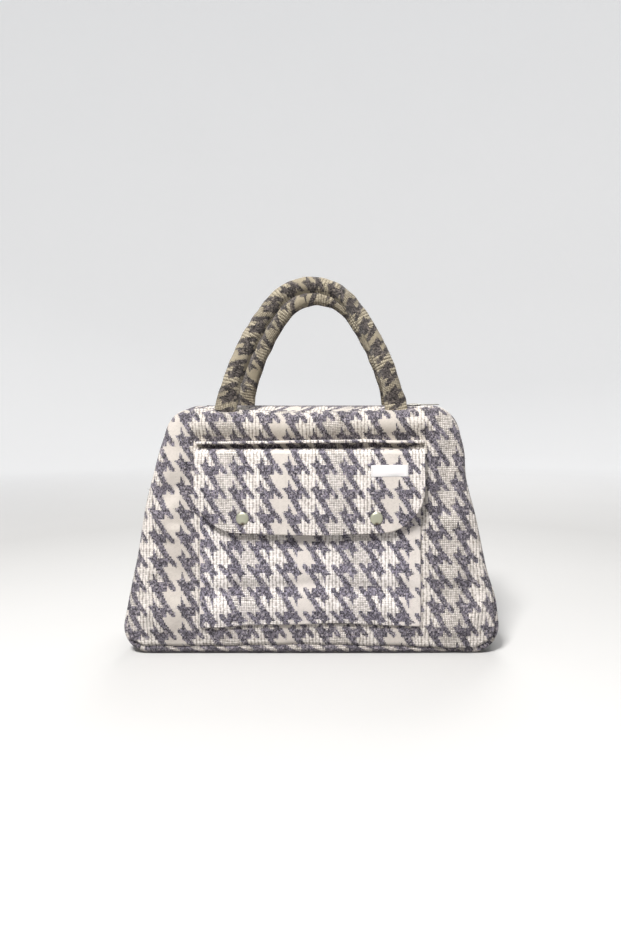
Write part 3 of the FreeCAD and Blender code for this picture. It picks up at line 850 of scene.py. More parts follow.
    def band(self, s, ends, repeat, phase, swap=False, bow=0.0, steps=26):
        """A strip of the gusset along lengths s of the outline, from one panel's seam to the other's.

        ends holds what each edge does: "seam" at a panel, or the y at which it stops.
        """
        roll = self.size.roll
        stations = []
        for side, end in zip((-1, 1), ends):
            if end != "seam":
                stations.append([(None, end, None)])
                continue
            seam = self.seam_angle(s, side)
            part = [(side, seam, SEAM_TUCK * self.size.seam_depth)]
            for share in SEAM_SHARES:
                angle = seam + (math.pi / 2 - seam) * share
                part.append((side, angle, self.seam_pull(roll * (angle - seam))))
            stations.append(part)
        first = self.front + roll if ends[0] == "seam" else ends[0]
        last = self.rear - roll if ends[1] == "seam" else ends[1]
        between = [(None, y, None) for y in np.linspace(first, last, steps + 2)[1:-1]]
        point, normal = self.outline.at(s)
        columns, outs = [], []
        for side, angle, depth in stations[0] + between + stations[1][::-1]:
            if side is None:
                sunk = bow * math.sin(math.pi * min(max((angle - first) / (last - first), 0), 1))
                flat = point - normal * np.broadcast_to(sunk, len(s))[:, None]
                columns.append(np.stack([flat[:, 0], np.full(len(s), angle), flat[:, 1]], axis=-1))
                outs.append(np.stack([normal[:, 0], 0 * s, normal[:, 1]], axis=-1))
            else:
                edge, out = self.rolled(s, angle, side)
                outs.append(out)
                columns.append(edge - out * np.broadcast_to(depth, len(s))[:, None])
        grid = np.stack(columns, axis=1)
        gaps = np.linalg.norm(np.diff(grid.mean(axis=0), axis=0), axis=1)
        across = np.concatenate([[0], np.cumsum(gaps)])
        across = np.broadcast_to((across - across.mean())[None], grid.shape[:2])
        along = np.broadcast_to((s - s[0])[:, None], grid.shape[:2])
        uv = lay(along, across, repeat, phase) if swap else lay(across, along, repeat, phase)
        rows, count = grid.shape[:2]
        faces = grid_faces(rows, count, False)
        turned = np.zeros((rows, count), bool)
        turned[:, :3] = ends[0] == "seam"
        turned[:, -3:] |= ends[1] == "seam"
        held = (np.flatnonzero(turned.ravel()), np.stack(outs, axis=1)[turned])
        return self.settle(grid.reshape(-1, 3)), faces, uv, grid_rim(rows, count), held


# Each layer of the body: how far under the cloth's outer face it starts and ends.
LAYERS = {"cloth": (0.0, 0.0016), "foam": (0.0020, 0.0044), "lining": (0.0048, 0.0054)}
PANEL_STATIONS = 200


def front_swell(x, z):
    """How far the front panel stands out of its plane."""
    size = bpy.context.scene.handbag_body
    wide = np.abs(x)
    lift = size.front_pillow * (0.55 + 0.45 * hump(wide, 0.128, 0.03))
    between = smooth((0.112 - wide) / 0.02)
    lift = lift + (0.0022 * hump(z, 0.2015, 0.0085) - 0.0030 * hump(z, 0.1855, 0.0065)) * between
    lift = lift - 0.0020 * hump(x, -0.116, 0.013) * hump(z, 0.070, 0.022)
    lift = lift + 0.0009 * hump(x, -0.130, 0.010) * hump(z, 0.050, 0.020)
    lift = lift - 0.0012 * hump(x, 0.118, 0.008) * hump(z, 0.160, 0.04)
    return lift + 0.00042 * ripple(x, z, 0.055, 4)


def rear_swell(x, z):
    """How far the rear panel stands out of its plane."""
    size = bpy.context.scene.handbag_body
    lift = size.pillow * (1 - 0.35 * hump(z, 0.19, 0.05))
    lift = lift - 0.0016 * hump(z - 0.12 * np.abs(x), 0.045, 0.010) * hump(x, 0.02, 0.08)
    lift = lift - 0.0012 * hump(x + 0.2 * z, -0.075, 0.011) * hump(z, 0.12, 0.05)
    return lift + 0.0006 * ripple(x, z, 0.06, 11)


SWELLS = {-1: front_swell, 1: rear_swell}
SIM_GRID = (45, 33)
SIM_FRAMES = 20
SIM_CAP = 0.0030


def simulated(side):
    """Cloth simulation of a panel: a slightly large sheet, held at its seams and pushed out by its padding.

    Returns a function that adds the sheet's own folds, held to SIM_CAP, to the panel's swell.
    """
    size = bpy.context.scene.handbag_body
    columns, rows = SIM_GRID
    across, up = np.meshgrid(np.linspace(-1, 1, columns), np.linspace(0, 1, rows), indexing="xy")
    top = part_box("front_top_border")[1].z
    tall = top - 2 * size.roll

    def half(z):
        return size.base_half_width + (size.top_half_width - size.base_half_width) * z / top

    z = size.roll + up * tall
    x = across * (half(z) - size.roll)
    start = np.stack([x, SWELLS[side](x, z) * side, z], axis=-1).reshape(-1, 3)
    faces = grid_faces(rows, columns, False)
    sheet = make("panel sheet", start, faces if side < 0 else flipped(faces))
    pinned = np.zeros((rows, columns), bool)
    pinned[[0, -1]] = pinned[:, [0, -1]] = True
    if side < 0:
        pocket_edge = (np.abs(x) > 0.088) & (np.abs(x) < 0.098) & (z > 0.02) & (z < 0.185)
        hem_line = (np.abs(x) < 0.098) & (np.abs(z - 0.18) < 0.004)
        pinned |= pocket_edge | hem_line
    group = sheet.vertex_groups.new(name="sewn")
    group.add(np.flatnonzero(pinned.ravel()).tolist(), 1.0, "REPLACE")
    cloth = sheet.modifiers.new("cloth", "CLOTH").settings
    cloth.quality, cloth.mass = 6, 0.35
    cloth.tension_stiffness = cloth.compression_stiffness = 22.0
    cloth.bending_stiffness = 3.0
    cloth.vertex_group_mass, cloth.pin_stiffness = "sewn", 1.0
    cloth.shrink_min = cloth.shrink_max = -0.018
    cloth.use_pressure, cloth.uniform_pressure_force = True, 3.0
    cloth.effector_weights.gravity = 0.35
    scene = bpy.context.scene
    for frame_number in range(1, SIM_FRAMES + 1):
        scene.frame_set(frame_number)
    settled = sheet.evaluated_get(bpy.context.evaluated_depsgraph_get()).to_mesh()
    moved = np.array([v.co[:] for v in settled.vertices])
    folds = ((moved - start)[:, 1] * side).reshape(rows, columns)
    scene.frame_set(1)
    bpy.data.objects.remove(sheet, do_unlink=True)
    folds = np.tanh((folds - np.median(folds)) / SIM_CAP) * SIM_CAP

    def swell(px, pz):
        v = np.clip((pz - size.roll) / tall, 0, 1) * (rows - 1)
        u = (np.clip(px / (half(pz) - size.roll), -1, 1) + 1) / 2 * (columns - 1)
        c, r = np.minimum(u.astype(int), columns - 2), np.minimum(v.astype(int), rows - 2)
        fu, fv = smooth(u - c), smooth(v - r)
        low = folds[r, c] * (1 - fu) + folds[r, c + 1] * fu
        high = folds[r + 1, c] * (1 - fu) + folds[r + 1, c + 1] * fu
        own = low * (1 - fv) + high * fv
        if side < 0:
            under_pocket = smooth((0.110 - np.abs(px)) / 0.010) * smooth((pz - 0.008) / 0.012)
            own = own * (1 - under_pocket)
        return SWELLS[side](px, pz) + own

    return swell


def edge_fuzz(surface, around, seed, count=340):
    """Loose yarn ends round the edge of a panel, most of them on its right side, where it has rubbed."""
    vertices, faces, uv, _, _ = surface
    rng = np.random.RandomState(seed)
    near = np.arange(2 * around, 9 * around)
    weight = np.where(vertices[near, 0] > 0, 3.0, 1.0) * (vertices[near, 2] > 0.012)
    picked = rng.choice(near, count, replace=False, p=weight / weight.sum())
    return frayed(vertices[picked], vertex_normals(vertices, faces)[picked], uv[picked], (0.6, 1.9), seed + 1)


def body_layers(name, surface, nodes, painted_shade_and_soil=0.10, fuzz=None):
    """One part of the body as its cloth, and its foam and lining where it has them."""
    vertices, faces, uv, rim, held = surface
    for layer, node in nodes.items():
        near, far = LAYERS[layer]
        parts = [shell(vertices, faces, uv, rim, near, far, held)]
        if layer == "cloth" and fuzz:
            parts.append(fuzz)
        piece = make(f"{name}_{layer}", *joined(parts))
        finish_piece(piece, "bag", material(layer), [node])
        # The cloth carries its painted shade, the loose yarn ends taking the first vertex's.
        if layer == "cloth":
            marks = np.broadcast_to(painted_shade_and_soil, len(vertices))
            loose = len(piece.data.vertices) - 2 * len(vertices)
            paint_shade_and_soil(piece, np.concatenate([marks, marks, np.full(loose, marks[0])]))


def two_layers(name, body, layers, hinge=None, painted_shade_and_soil=0.0):
    """A piece's cloth and its lining, each given as its node and its mesh.

    hinge holds where the fold between the bag and the piece's own body starts and ends.
    """
    for layer, (node, mesh) in layers.items():
        piece = make(f"{name}_{layer}", *mesh)
        if hinge:
            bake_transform(piece, "bag", body, start=hinge[0], end=hinge[1])
        finish_piece(piece, body, material(layer), [node])
        # The cloth gets its painted shade; an amount below 0 paints light.
        if layer == "cloth" and painted_shade_and_soil:
            paint_shade_and_soil(piece, painted_shade_and_soil)


class HANDBAG_OT_panels(bpy.types.Operator):
    """Make the padded front and rear panels with their foam and lining"""
    bl_idname = "handbag.panels"
    bl_label = "Panels"

    def execute(self, context):
        form = BodyForm()
        around = 2 * PANEL_STATIONS
        for side, name in SIDES:
            surface = form.panel(side, simulated(side), (23.55, 20.52), PANEL_STATIONS)
            nodes = {"cloth": f"{name}_panel", "foam": f"{name}_foam", "lining": f"lining_{name}"}
            x, _, z = surface[0].T
            # Painted shade: the front panel darkens over the band just above the hem and along its top edge,
            # on top of an even painted shade over both panels.
            above_hem = smooth((0.205 - z) / 0.018) * smooth((z - 0.17) / 0.01)
            above_hem = above_hem * smooth((0.108 - np.abs(x)) / 0.012)
            wear_and_painted_shade = 0.20 * above_hem + 0.13 * smooth((z - 0.199) / 0.012)
            body_layers(f"soft_{name}_panel", surface, nodes, painted_shade_and_soil=0.07 + (wear_and_painted_shade if side < 0 else 0 * x),
                        fuzz=edge_fuzz(surface, around, 90 + side))
        return {"FINISHED"}


class HANDBAG_OT_gusset(bpy.types.Operator):
    """Make the gusset round the base and the sides with its lining"""
    bl_idname = "handbag.gusset"
    bl_label = "Gusset"

    def execute(self, context):
        form = BodyForm()
        outline = form.outline
        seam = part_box("base_gusset")[1].x
        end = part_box("front_top_border")[1].x
        right_low, right_high = outline.find(seam, 0), outline.find(end, form.top)
        left_high, left_low = outline.find(-end, form.top), outline.find(-seam, 0)
        runs = {
            "right": np.linspace(right_low, right_high, 120),
            "left": np.linspace(left_high, left_low + outline.total, 120),
            "base": np.linspace(left_low, right_low, 110),
        }
        for name, s in runs.items():
            bow = 0.0 if name == "base" else 0.0045 * np.sin(math.pi * (s - s[0]) / (s[-1] - s[0]))
            surface = form.band(s, ("seam", "seam"), PLAIN_REPEAT, (0.3, 0.1), bow=bow)
            nodes = {"cloth": f"{name}_gusset", "lining": f"lining_{name}"}
            # The gusset's cloth gets the default even painted shade.
            body_layers(f"soft_{name}_gusset", surface, nodes)
        return {"FINISHED"}


def fold_line(side, name):
    """The y of a top border's inner edge, about which the zip's strip folds."""
    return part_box(f"{name}_top_border")[1 if side < 0 else 0].y


class HANDBAG_OT_top(bpy.types.Operator):
    """Make the narrow borders beside the zip and the panels at its ends"""
    bl_idname = "handbag.top"
    bl_label = "Top borders"

    def execute(self, context):
        form = BodyForm()
        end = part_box("front_top_border")[1].x
        right, left = form.outline.find(end, form.top), form.outline.find(-end, form.top)
        s = np.linspace(right, left, 130)
        for side, name in SIDES:
            edge = fold_line(side, name)
            ends = ("seam", edge) if side < 0 else (edge, "seam")
            surface = form.band(s, ends, PLAIN_REPEAT, TOP_PHASE, swap=True, steps=9)
            # The borders' cloth gets the default even painted shade.
            body_layers(f"soft_{name}_border", surface, {"cloth": f"{name}_top_border"})
        return {"FINISHED"}


# ---------------------------------------------------------------- pocket, hem and flap
def plate_surface(outline, level, medial, insets, inner, n, height):
    """A soft plate facing the front: rings from its outline to its middle, raised by height(x, z, inset)."""
    points, depths = rings(outline, n, level, insets, inner, medial)
    x, z, inset = points[..., 0].ravel(), points[..., 1].ravel(), depths.ravel()
    vertices = np.stack([x, height(x, z, inset), z], axis=-1)
    count = points.shape[1]
    faces = grid_faces(len(points), count, True) + ladder_faces((len(points) - 1) * count, n)
    return vertices, faces, x, z, list(range(count))


def round_over(inset, radius):
    """How far a folded edge falls away within its radius of the outline."""
    t = np.clip(1 - inset / radius, 0, 1)
    return radius * (1 - np.sqrt(1 - t * t))


# The flap's upper edge rolls back under the hem: how far below its top, over what height and how deep.
FLAP_ROLL_FROM = 0.0054
FLAP_ROLL_HEIGHT = 0.0026
FLAP_ROLL_DEPTH = 0.0066


class FrontParts:
    """Places of the pocket, hem, flap, label and snaps, from the frame."""

    def __init__(self):
        self.pocket_low, self.pocket_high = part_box("pocket_panel")
        self.hem_low, self.hem_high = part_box("flap_hem")
        self.flap_low, self.flap_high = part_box("flap")
        self.label_low, self.label_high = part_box("label")
        self.caps_low, self.caps_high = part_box("snap_caps")
        self.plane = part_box("front_panel")[0].y
        joint = next(j for j in frame["joints"] if j["name"] == "flap_hinge")
        self.hinge = np.array(joint["pos_m"], float)
        self.cap_radius = (self.caps_high.z - self.caps_low.z) / 2
        spread, level = self.caps_high.x - self.cap_radius, (self.caps_low.z + self.caps_high.z) / 2
        self.snaps = [(-spread, level), (spread, level)]

    def dimples(self, x, z, depth, width):
        return sum(depth * hump(np.hypot(x - a, z - b), 0, width) for a, b in self.snaps)

    def pocket_face(self, x, z, inset):
        """The y of the pocket's outer face."""
        size = bpy.context.scene.handbag_pocket
        full = self.plane - self.pocket_low.y
        edge = front_swell(x, z) + size.edge_height
        rise = smooth((self.pocket_high.x - np.abs(x)) / size.rise)
        rise = rise * smooth((z - self.pocket_low.z) / size.rise)
        lift = edge * (1 - rise) + full * rise
        fold = 0.058 + 0.0022 * np.cos(x * 38.0) + 0.0010 * np.sin(x * 95.0 + 1.0)
        across = smooth((0.098 - np.abs(x)) / 0.02)
        lift = lift - size.crease * hump(z, fold, 0.0055) * across
        lift = lift + 0.35 * size.crease * hump(z, fold + 0.011, 0.007) * across
        lift = lift + 0.00030 * ripple(x, z, 0.045, 21) * rise
        return self.plane - lift + round_over(inset, 0.0017)

    def flap_face(self, x, z, inset):
        """The y of the flap's outer face."""
        size = bpy.context.scene.handbag_pocket
        start = self.hinge[1] - 0.0012
        slope = (self.flap_low.y - start) / (self.flap_high.z - self.flap_low.z)
        y = start + slope * (self.flap_high.z - z)
        swell = size.flap_swell * (hump(x, 0, 0.05) * hump(z, 0.104, 0.03) + 0.8 * hump(z, 0.145, 0.022))
        swell = swell + 0.8 * size.flap_swell * hump(np.abs(x), 0.092, 0.012) * hump(z, 0.128, 0.02)
        y = y - swell + self.dimples(x, z, 0.0007, 0.011) - 0.00025 * ripple(x, z, 0.04, 33)
        roll = np.clip((z - self.flap_high.z + FLAP_ROLL_FROM) / FLAP_ROLL_HEIGHT, 0, 1)
        y = y + FLAP_ROLL_DEPTH * (1 - np.sqrt(1 - 0.98 * roll * roll))
        return y + round_over(inset, 0.0013) * (1 - smooth(roll * 3))


class HANDBAG_OT_pocket(bpy.types.Operator):
    """Make the patch pocket with its lining"""
    bl_idname = "handbag.pocket"
    bl_label = "Pocket"

    def execute(self, context):
        parts = FrontParts()
        low, high = parts.pocket_low, parts.pocket_high
        half, level = high.x, (low.z + high.z) / 2
        outline = Outline([(-half, low.z), (half, low.z), (half, high.z), (-half, high.z)], [0.0016] * 4)
        insets = [0, 0.00025, 0.0006, 0.0011, 0.0018, 0.003]
        v, faces, x, z, rim = plate_surface(outline, level, 0.36, insets, 40, 150, parts.pocket_face)
        hang = np.where(z < low.z + 0.02, 1.0, 0.0) * (0.0016 * np.cos((x - 0.02) * 30.0) - 0.0012)
        v[:, 2] += hang + 0.0006 * ripple(x, z, 0.07, 5)
        uv = lay(x, -z, (23.51, 19.76), (0.441, 0.533), way=1)
        middle, grown = np.array([0, 0, level]), 1.0 + 0.0007 / half
        wider = (v - middle) * [grown, 1.0, grown] + middle
        # The pocket's cloth gets painted light: its negative mark lightens it.
        two_layers("soft_pocket", "bag", {
            "cloth": ("pocket_panel", shell(v, faces, uv, rim, 0, 0.0016)),
            "lining": ("pocket_lining", shell(wider, faces, uv, rim, 0.0019, 0.0025)),
        }, painted_shade_and_soil=-0.12)
        return {"FINISHED"}


class HANDBAG_OT_flap(bpy.types.Operator):
    """Make the rolled hem above the pocket and the flap hanging from it"""
    bl_idname = "handbag.flap"
    bl_label = "Flap and hem"

    def execute(self, context):
        size = context.scene.handbag_pocket
        parts = FrontParts()
        self.hem(parts)
        low, high = parts.flap_low, parts.flap_high
        half, radius, upper = high.x, size.flap_corner, high.z - 0.0014
        drop = 0.0026
        tip = [(-half, low.z + drop), (0, low.z - 0.0004), (half, low.z + drop)]
        corners = tip + [(half, upper), (-half, upper)]
        outline = Outline(corners, [radius, 0.6, radius, 0.001, 0.001])
        insets = [0, 0.0002, 0.0005, 0.0009, 0.0014, 0.0017, 0.0020, 0.0023, 0.0026, 0.0030, 0.0034, 0.0039]
        level = 0.60 * high.z + 0.40 * low.z
        v, faces, x, z, rim = plate_surface(outline, level, 0.55, insets, 34, 150, parts.flap_face)
        uv = lay(x, -z, (23.08, 20.24), (0.778, 1.050))
        hinge = Vector((0, parts.hinge[1], upper)), Vector((0, parts.hinge[1], high.z - 0.0064))
        thick = size.flap_thickness
        two_layers("soft_flap", "pocket_flap", {
            "cloth": ("flap", shell(v, faces, uv, rim, 0, 0.66 * thick)),
            "lining": ("flap_lining", shell(v, faces, uv, rim, 0.72 * thick, thick)),
        }, hinge)
        return {"FINISHED"}

    def hem(self, parts):
        """A thin folded lip over a sunk strip, into which the flap's upper edge rolls."""
        low, high = parts.hem_low, parts.hem_high
        x = np.linspace(low.x, high.x, 240)
        face, lip, sunk = parts.plane, parts.plane - 0.0054, parts.plane - 0.0006
        profile = [(face + 0.0016, 0.1730), (sunk, 0.1730), (sunk - 0.0002, 0.1744), (sunk - 0.0002, 0.1763),
                   (sunk - 0.0003, 0.1780), (sunk - 0.0007, 0.1791), (sunk - 0.0019, 0.1796),
                   (lip + 0.0007, 0.1796), (lip + 0.0001, 0.1800), (lip, 0.1807), (lip + 0.0003, 0.1814),
                   (lip + 0.0010, 0.1818), (lip + 0.0022, 0.1820), (face - 0.0012, 0.1818),
                   (face + 0.0016, 0.1812)]
        y, z = np.array(profile).T
        run = np.concatenate([[0], np.cumsum(np.hypot(np.diff(y), np.diff(z)))])
        stout = 1 + 0.10 * ripple(x, 0 * x, 0.03, 8)
        past = np.clip(np.abs(x) - high.x + 0.0022, 0, None) / 0.0023
        shut = np.sqrt(np.clip(1 - past ** 2, 0.03, 1))
        forward = (y - sunk)[None] * np.where(y < sunk, (stout * shut)[:, None], 1.0)
        wave = (0.0007 * np.sin(x * 24.0 + 0.8) + 0.00025 * ripple(x, 0 * x, 0.05, 9))[:, None]
        rows = np.broadcast_to(z[None], forward.shape) + wave * smooth((z - 0.177) / 0.004)[None]
        vertices = np.stack([np.broadcast_to(x[:, None], rows.shape), sunk + forward, rows], axis=-1)
        down = np.broadcast_to(-(0.1730 + run - run[1]), rows.shape)
        uv = lay(vertices[..., 0], down, (23.56, 20.4), (0.745, 0.802))
        piece = make("soft_flap_hem", vertices, flipped(capped(len(x), len(profile))), uv)
        # Painted shade in the sunk strip under the lip.
        recess = (y > lip + 0.0016) & (z < 0.181)
        paint_shade_and_soil(piece, 0.34 * np.tile(recess, len(x)))
        finish_piece(piece, "bag", material("cloth"), ["flap_hem"])


class HANDBAG_OT_trim(bpy.types.Operator):
    """Make the bare woven label and the domed snap caps"""
    bl_idname = "handbag.trim"
    bl_label = "Label and snaps"

    def execute(self, context):
        parts = FrontParts()
        self.label(parts)
        self.caps(parts)
        dress(("snap_sockets", "snap_studs", "snap_stud_backs"), "zip")
        return {"FINISHED"}

    def label(self, parts):
        low, high = parts.label_low, parts.label_high
        tilt = math.radians(0.9)
        mid_x, mid_z = (low.x + high.x) / 2, (low.z + high.z) / 2
        half, tall = (high.x - low.x) / 2, (high.z - low.z) / 2
        outline = Outline([(-half, -tall), (half, -tall), (half, tall), (-half, tall)], [0.0005] * 4)

        def height(x, z, inset):
            base = parts.flap_face(x + mid_x, z + mid_z, np.ones_like(x))
            arch = 0.00045 * (1 - (x / half) ** 2) + 0.0002 * np.sin(x * 300.0)
            return base - 0.00035 - arch * smooth(inset / 0.003) + round_over(inset, 0.0003)

        v, faces, x, z, rim = plate_surface(outline, 0.0, 0.78, [0, 0.0001, 0.0003, 0.0008], 8, 60, height)
        turned_x = mid_x + x * math.cos(tilt) - z * math.sin(tilt)
        turned_z = mid_z + x * math.sin(tilt) + z * math.cos(tilt)
        v[:, 0], v[:, 2] = turned_x, turned_z
        uv = np.stack([x, z], axis=-1)
        piece = make("woven_label", *shell(v, faces, uv, rim, 0, 0.0005))
        finish_piece(piece, "pocket_flap", material("label"), ["label"])
        stitches = []
        for side in (-1, 1):
            z_line = np.linspace(-tall + 0.0007, tall - 0.0007, 7)
            x_line = np.full(7, side * (half - 0.0011))
            y_line = height(x_line, z_line, np.full(7, 0.0011))
            line = np.stack([mid_x + x_line, y_line - 0.0001, mid_z + z_line + side * 0.0002], axis=-1)
            stitches.append(capsule_row(line, np.tile([0, -1.0, 0], (7, 1)), radius=0.00017))
        piece = make("label_stitches", *joined(stitches))
        finish_piece(piece, "pocket_flap", material("white_thread"))

    def caps(self, parts):
        made, wear_and_painted_shade = [], []
        for x, z in parts.snaps:
            base = parts.flap_face(np.array([x]), np.array([z]), np.array([1.0]))[0]
            radius, rise = parts.cap_radius, base - parts.caps_low.y + 0.0003
            band = 0.0007
            profile = [(0.86 * radius, -0.0004), (0.97 * radius, 0.0), (radius, band / 2)]
            profile.append((0.985 * radius, band))
            for t in np.linspace(0.12, 1, 11)[:-1] * math.pi / 2:
                profile.append((0.965 * radius * math.cos(t) ** 0.8, band + (rise - band) * math.sin(t)))
            profile.append((0.0002, rise))
            part = lathe(profile, (x, base, z), (0.02, -1.0, 0.03))
            made.append(part)
            spot = np.hypot(part[0][:, 0] - x - 0.0004, part[0][:, 2] - z + 0.0046)
            wear_and_painted_shade.append(np.clip(1.25 - spot / 0.0019, 0, 1))
        piece = make("domed_snap_caps", *joined(made))
        mark(piece, "wear_and_painted_shade", np.concatenate(wear_and_painted_shade))
        finish_piece(piece, "pocket_flap", material("snap"), ["snap_caps"])


# ---------------------------------------------------------------- handles
FOOT_HALF_DEPTH = 0.0024


class HandlePath:
    """The line of a handle in its own leaning plane, as arcs, from one foot to the other."""

    def __init__(self, size):
        cap, shoulder = size.crown_radius, size.shoulder
        meet = np.array([cap * math.sin(shoulder), size.rise - cap + cap * math.cos(shoulder)])
        chord = np.array([size.half_span, 0.0]) - meet
        slope = math.atan2(-chord[1], chord[0])
        turn = 2 * (slope - shoulder)
        side = np.linalg.norm(chord) / (2 * math.sin(turn / 2))
        self.lengths = [cap * shoulder, side * turn]
        self.cap, self.shoulder, self.side, self.meet, self.rise = cap, shoulder, side, meet, size.rise
        self.half = sum(self.lengths)

    def at(self, s):
        """Points (across, up) and directions at lengths s from the crown. Past the foot it runs straight."""
        s = np.asarray(s, float)
        reach = np.abs(s)
        on_cap = np.minimum(reach, self.lengths[0]) / self.cap
        along = np.clip(reach - self.lengths[0], 0, self.lengths[1]) / self.side
        angle = np.where(reach < self.lengths[0], on_cap, self.shoulder + along)
        cap = np.stack([self.cap * np.sin(on_cap), self.rise - self.cap + self.cap * np.cos(on_cap)], axis=-1)
        centre = self.meet - self.side * np.array([math.sin(self.shoulder), math.cos(self.shoulder)])
        arc = centre + self.side * np.stack([np.sin(angle), np.cos(angle)], axis=-1)
        point = np.where((reach < self.lengths[0])[..., None], cap, arc)
        direction = np.stack([np.cos(angle), -np.sin(angle)], axis=-1)
        point = point + direction * np.clip(reach - self.half, 0, None)[..., None]
        sign = np.where(s < 0, -1.0, 1.0)
        point[..., 0] *= sign
        direction[..., 1] *= sign
        return point, direction


class HANDBAG_OT_handles(bpy.types.Operator):
    """Make the two stuffed handles, flattened where they are sewn in behind the panels"""
    bl_idname = "handbag.handles"
    bl_label = "Handles"

    def execute(self, context):
        for side, name in SIDES:
            self.handle(context.scene.handbag_handles, side, name)
        return {"FINISHED"}

    def handle(self, size, side, name, rows=330, sides=36):
        """A round sleeve with a lapped seam along it, flattened at both feet."""
        path = HandlePath(size)
        joint = next(j for j in frame["joints"] if j["name"] == f"{name}_handle_hinge")
        hinge = np.array(joint["pos_m"], float)
        buried = 0.009
        s = np.linspace(-path.half - buried, path.half + buried, rows)
        point, direction = path.at(s)
        above = point[:, 1]
        fuller = smooth((path.rise - above) / 0.07)
        thick = size.crown_thickness + (size.foot_thickness - size.crown_thickness) * fuller
        round_part = smooth((above + 0.001) / 0.019)
        wide = size.foot_width * (1 - round_part) + thick * round_part
        deep = FOOT_HALF_DEPTH * (1 - round_part) + wide * round_part
        wide = wide * (1 + 0.013 * ripple(s, 0 * s, 0.028, 40 + side))
        deep = deep * (1 + 0.013 * ripple(s, 0 * s, 0.033, 50 + side))
        angle = np.broadcast_to(np.linspace(0, 2 * math.pi, sides, endpoint=False), (rows, sides))
        seam = math.pi + side * 0.55 * (0.9 + 0.35 * np.sin(s * 14.0 + side))
        from_seam = np.angle(np.exp(1j * (angle - seam[:, None])))
        lap = 0.00055 * np.exp(-np.clip(from_seam, 0, None) / 0.35) * (from_seam > 0)
        groove = 0.00125 * np.exp(-(from_seam / 0.12) ** 2)
        lumps = 0.00022 * ripple(s[:, None] * np.ones(sides), angle * 0.007, 0.016, 60 + side)
        change = (lap - groove) * round_part[:, None] + lumps
        outward = np.stack([-direction[:, 1], direction[:, 0]], axis=-1)
        outward = outward * np.sign(outward[:, 1:2] + 1e-9)
        in_plane = (wide[:, None] + change) * np.cos(angle)
        off_plane = (deep[:, None] + change) * np.sin(angle)
        a = point[:, 0:1] + outward[:, 0:1] * in_plane
        h = point[:, 1:2] + outward[:, 1:2] * in_plane
        lean = size.lean
        y = hinge[1] - side * math.sin(lean) * h + side * math.cos(lean) * off_plane
        z = hinge[2] + math.cos(lean) * h + math.sin(lean) * off_plane
        vertices = np.stack([a, y, z], axis=-1).reshape(-1, 3)
        faces = capped(rows, sides)
        if side > 0:
            faces = flipped(faces)
        around = from_seam * 0.0074
        along = np.broadcast_to(s[:, None], around.shape)
        uv = lay(along, around, (21.5, 22.0), (0.2 if side < 0 else 0.55, 0.5))
        count = len(vertices)
        rng = np.random.RandomState(70 + side)
        picked = rng.choice(np.arange(count // 20, count - count // 20), 420, replace=False)
        normals = vertex_normals(vertices, faces)[picked]
        fuzz = frayed(vertices[picked], normals, uv[picked], (0.7, 2.2), 80 + side)
        piece = make(f"soft_{name}_handle", *joined([(vertices, faces, uv), fuzz]))
        # Painted shade and handling dirt darken the handle.
        paint_shade_and_soil(piece, 0.55)
        body = f"{name}_handle"
        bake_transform(piece, "bag", body, start=Vector((0, hinge[1], hinge[2] - 0.0045)),
                 end=Vector((0, hinge[1], hinge[2] + 0.007)))
        nodes = [f"{name}_handle_sleeve", f"{name}_handle_tabs", f"{name}_handle_anchors"]
        finish_piece(piece, body, material("cloth"), nodes)
        dress([f"{name}_handle_cord"], "cord")


# ---------------------------------------------------------------- zip
class ZipForm:
    """The top of the bag round the zip, from the frame."""

    def __init__(self):
        self.body = BodyForm()
        self.strips = {-1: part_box("front_zip_strip"), 1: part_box("rear_zip_strip")}
        self.tapes = {-1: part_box("front_zip_tape"), 1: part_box("rear_zip_tape")}
        self.coils = {-1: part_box("front_zip_coil"), 1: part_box("rear_zip_coil")}
        self.middle = self.body.middle

    def strip(self, side, name):
        """A strip between the border and the tape, with its folded edge towards the zip."""
        low, high = self.strips[side]
        border = fold_line(side, name)
        near_zip = high.y if side < 0 else low.y
        x = np.linspace(low.x, high.x, 120)
        share = np.concatenate([[0, 0.012, 0.03], np.linspace(0.06, 0.94, 22),
                                [0.955, 0.97, 0.982, 0.992, 1.0]])
        gx, gy = np.meshgrid(x, border + (near_zip - border) * share, indexing="ij")
        hang = 0.0009 * np.sin(math.pi * share) * (1 + 0.3 * np.sin(gx * 60.0))
        seam = 0.0008 * hump(gy, border, 0.0012)
        z = high.z - hang - round_over(np.abs(near_zip - gy), 0.0012) - seam
        vertices = self.body.settle(np.stack([gx, gy, z], axis=-1).reshape(-1, 3))
        faces, rim = grid_surface(len(x), len(share), turned=side < 0)
        return vertices, faces, lay(gx, gy, PLAIN_REPEAT, TOP_PHASE), rim


COIL_PITCH = 0.00125
COIL_WIRE = 0.00033


def coil_turns(x_values, side, middle, low, high):
    """A zip's coil: a small flattened loop of nylon for each tooth, whose head meets those opposite."""
    near, far = 0.00045, high.y - middle if side > 0 else middle - low.y
    mid_z, tall = (low.z + high.z) / 2, (high.z - low.z) / 2 - 0.00032
    turns = np.linspace(0, 2 * math.pi, 13)
    reach = (near + far) / 2 - (far - near) / 2 * np.cos(turns) - 0.0002
    reach = np.where(reach < 0.0012, reach - 0.0005, reach)
    lift = np.sin(turns) * tall
    along = COIL_PITCH * (turns / (2 * math.pi) - 0.5) * 0.9
    lines = [np.stack([x + along, middle + side * reach, mid_z + lift], axis=-1) for x in x_values]
    return joined([tube(line, COIL_WIRE, 6) for line in lines])


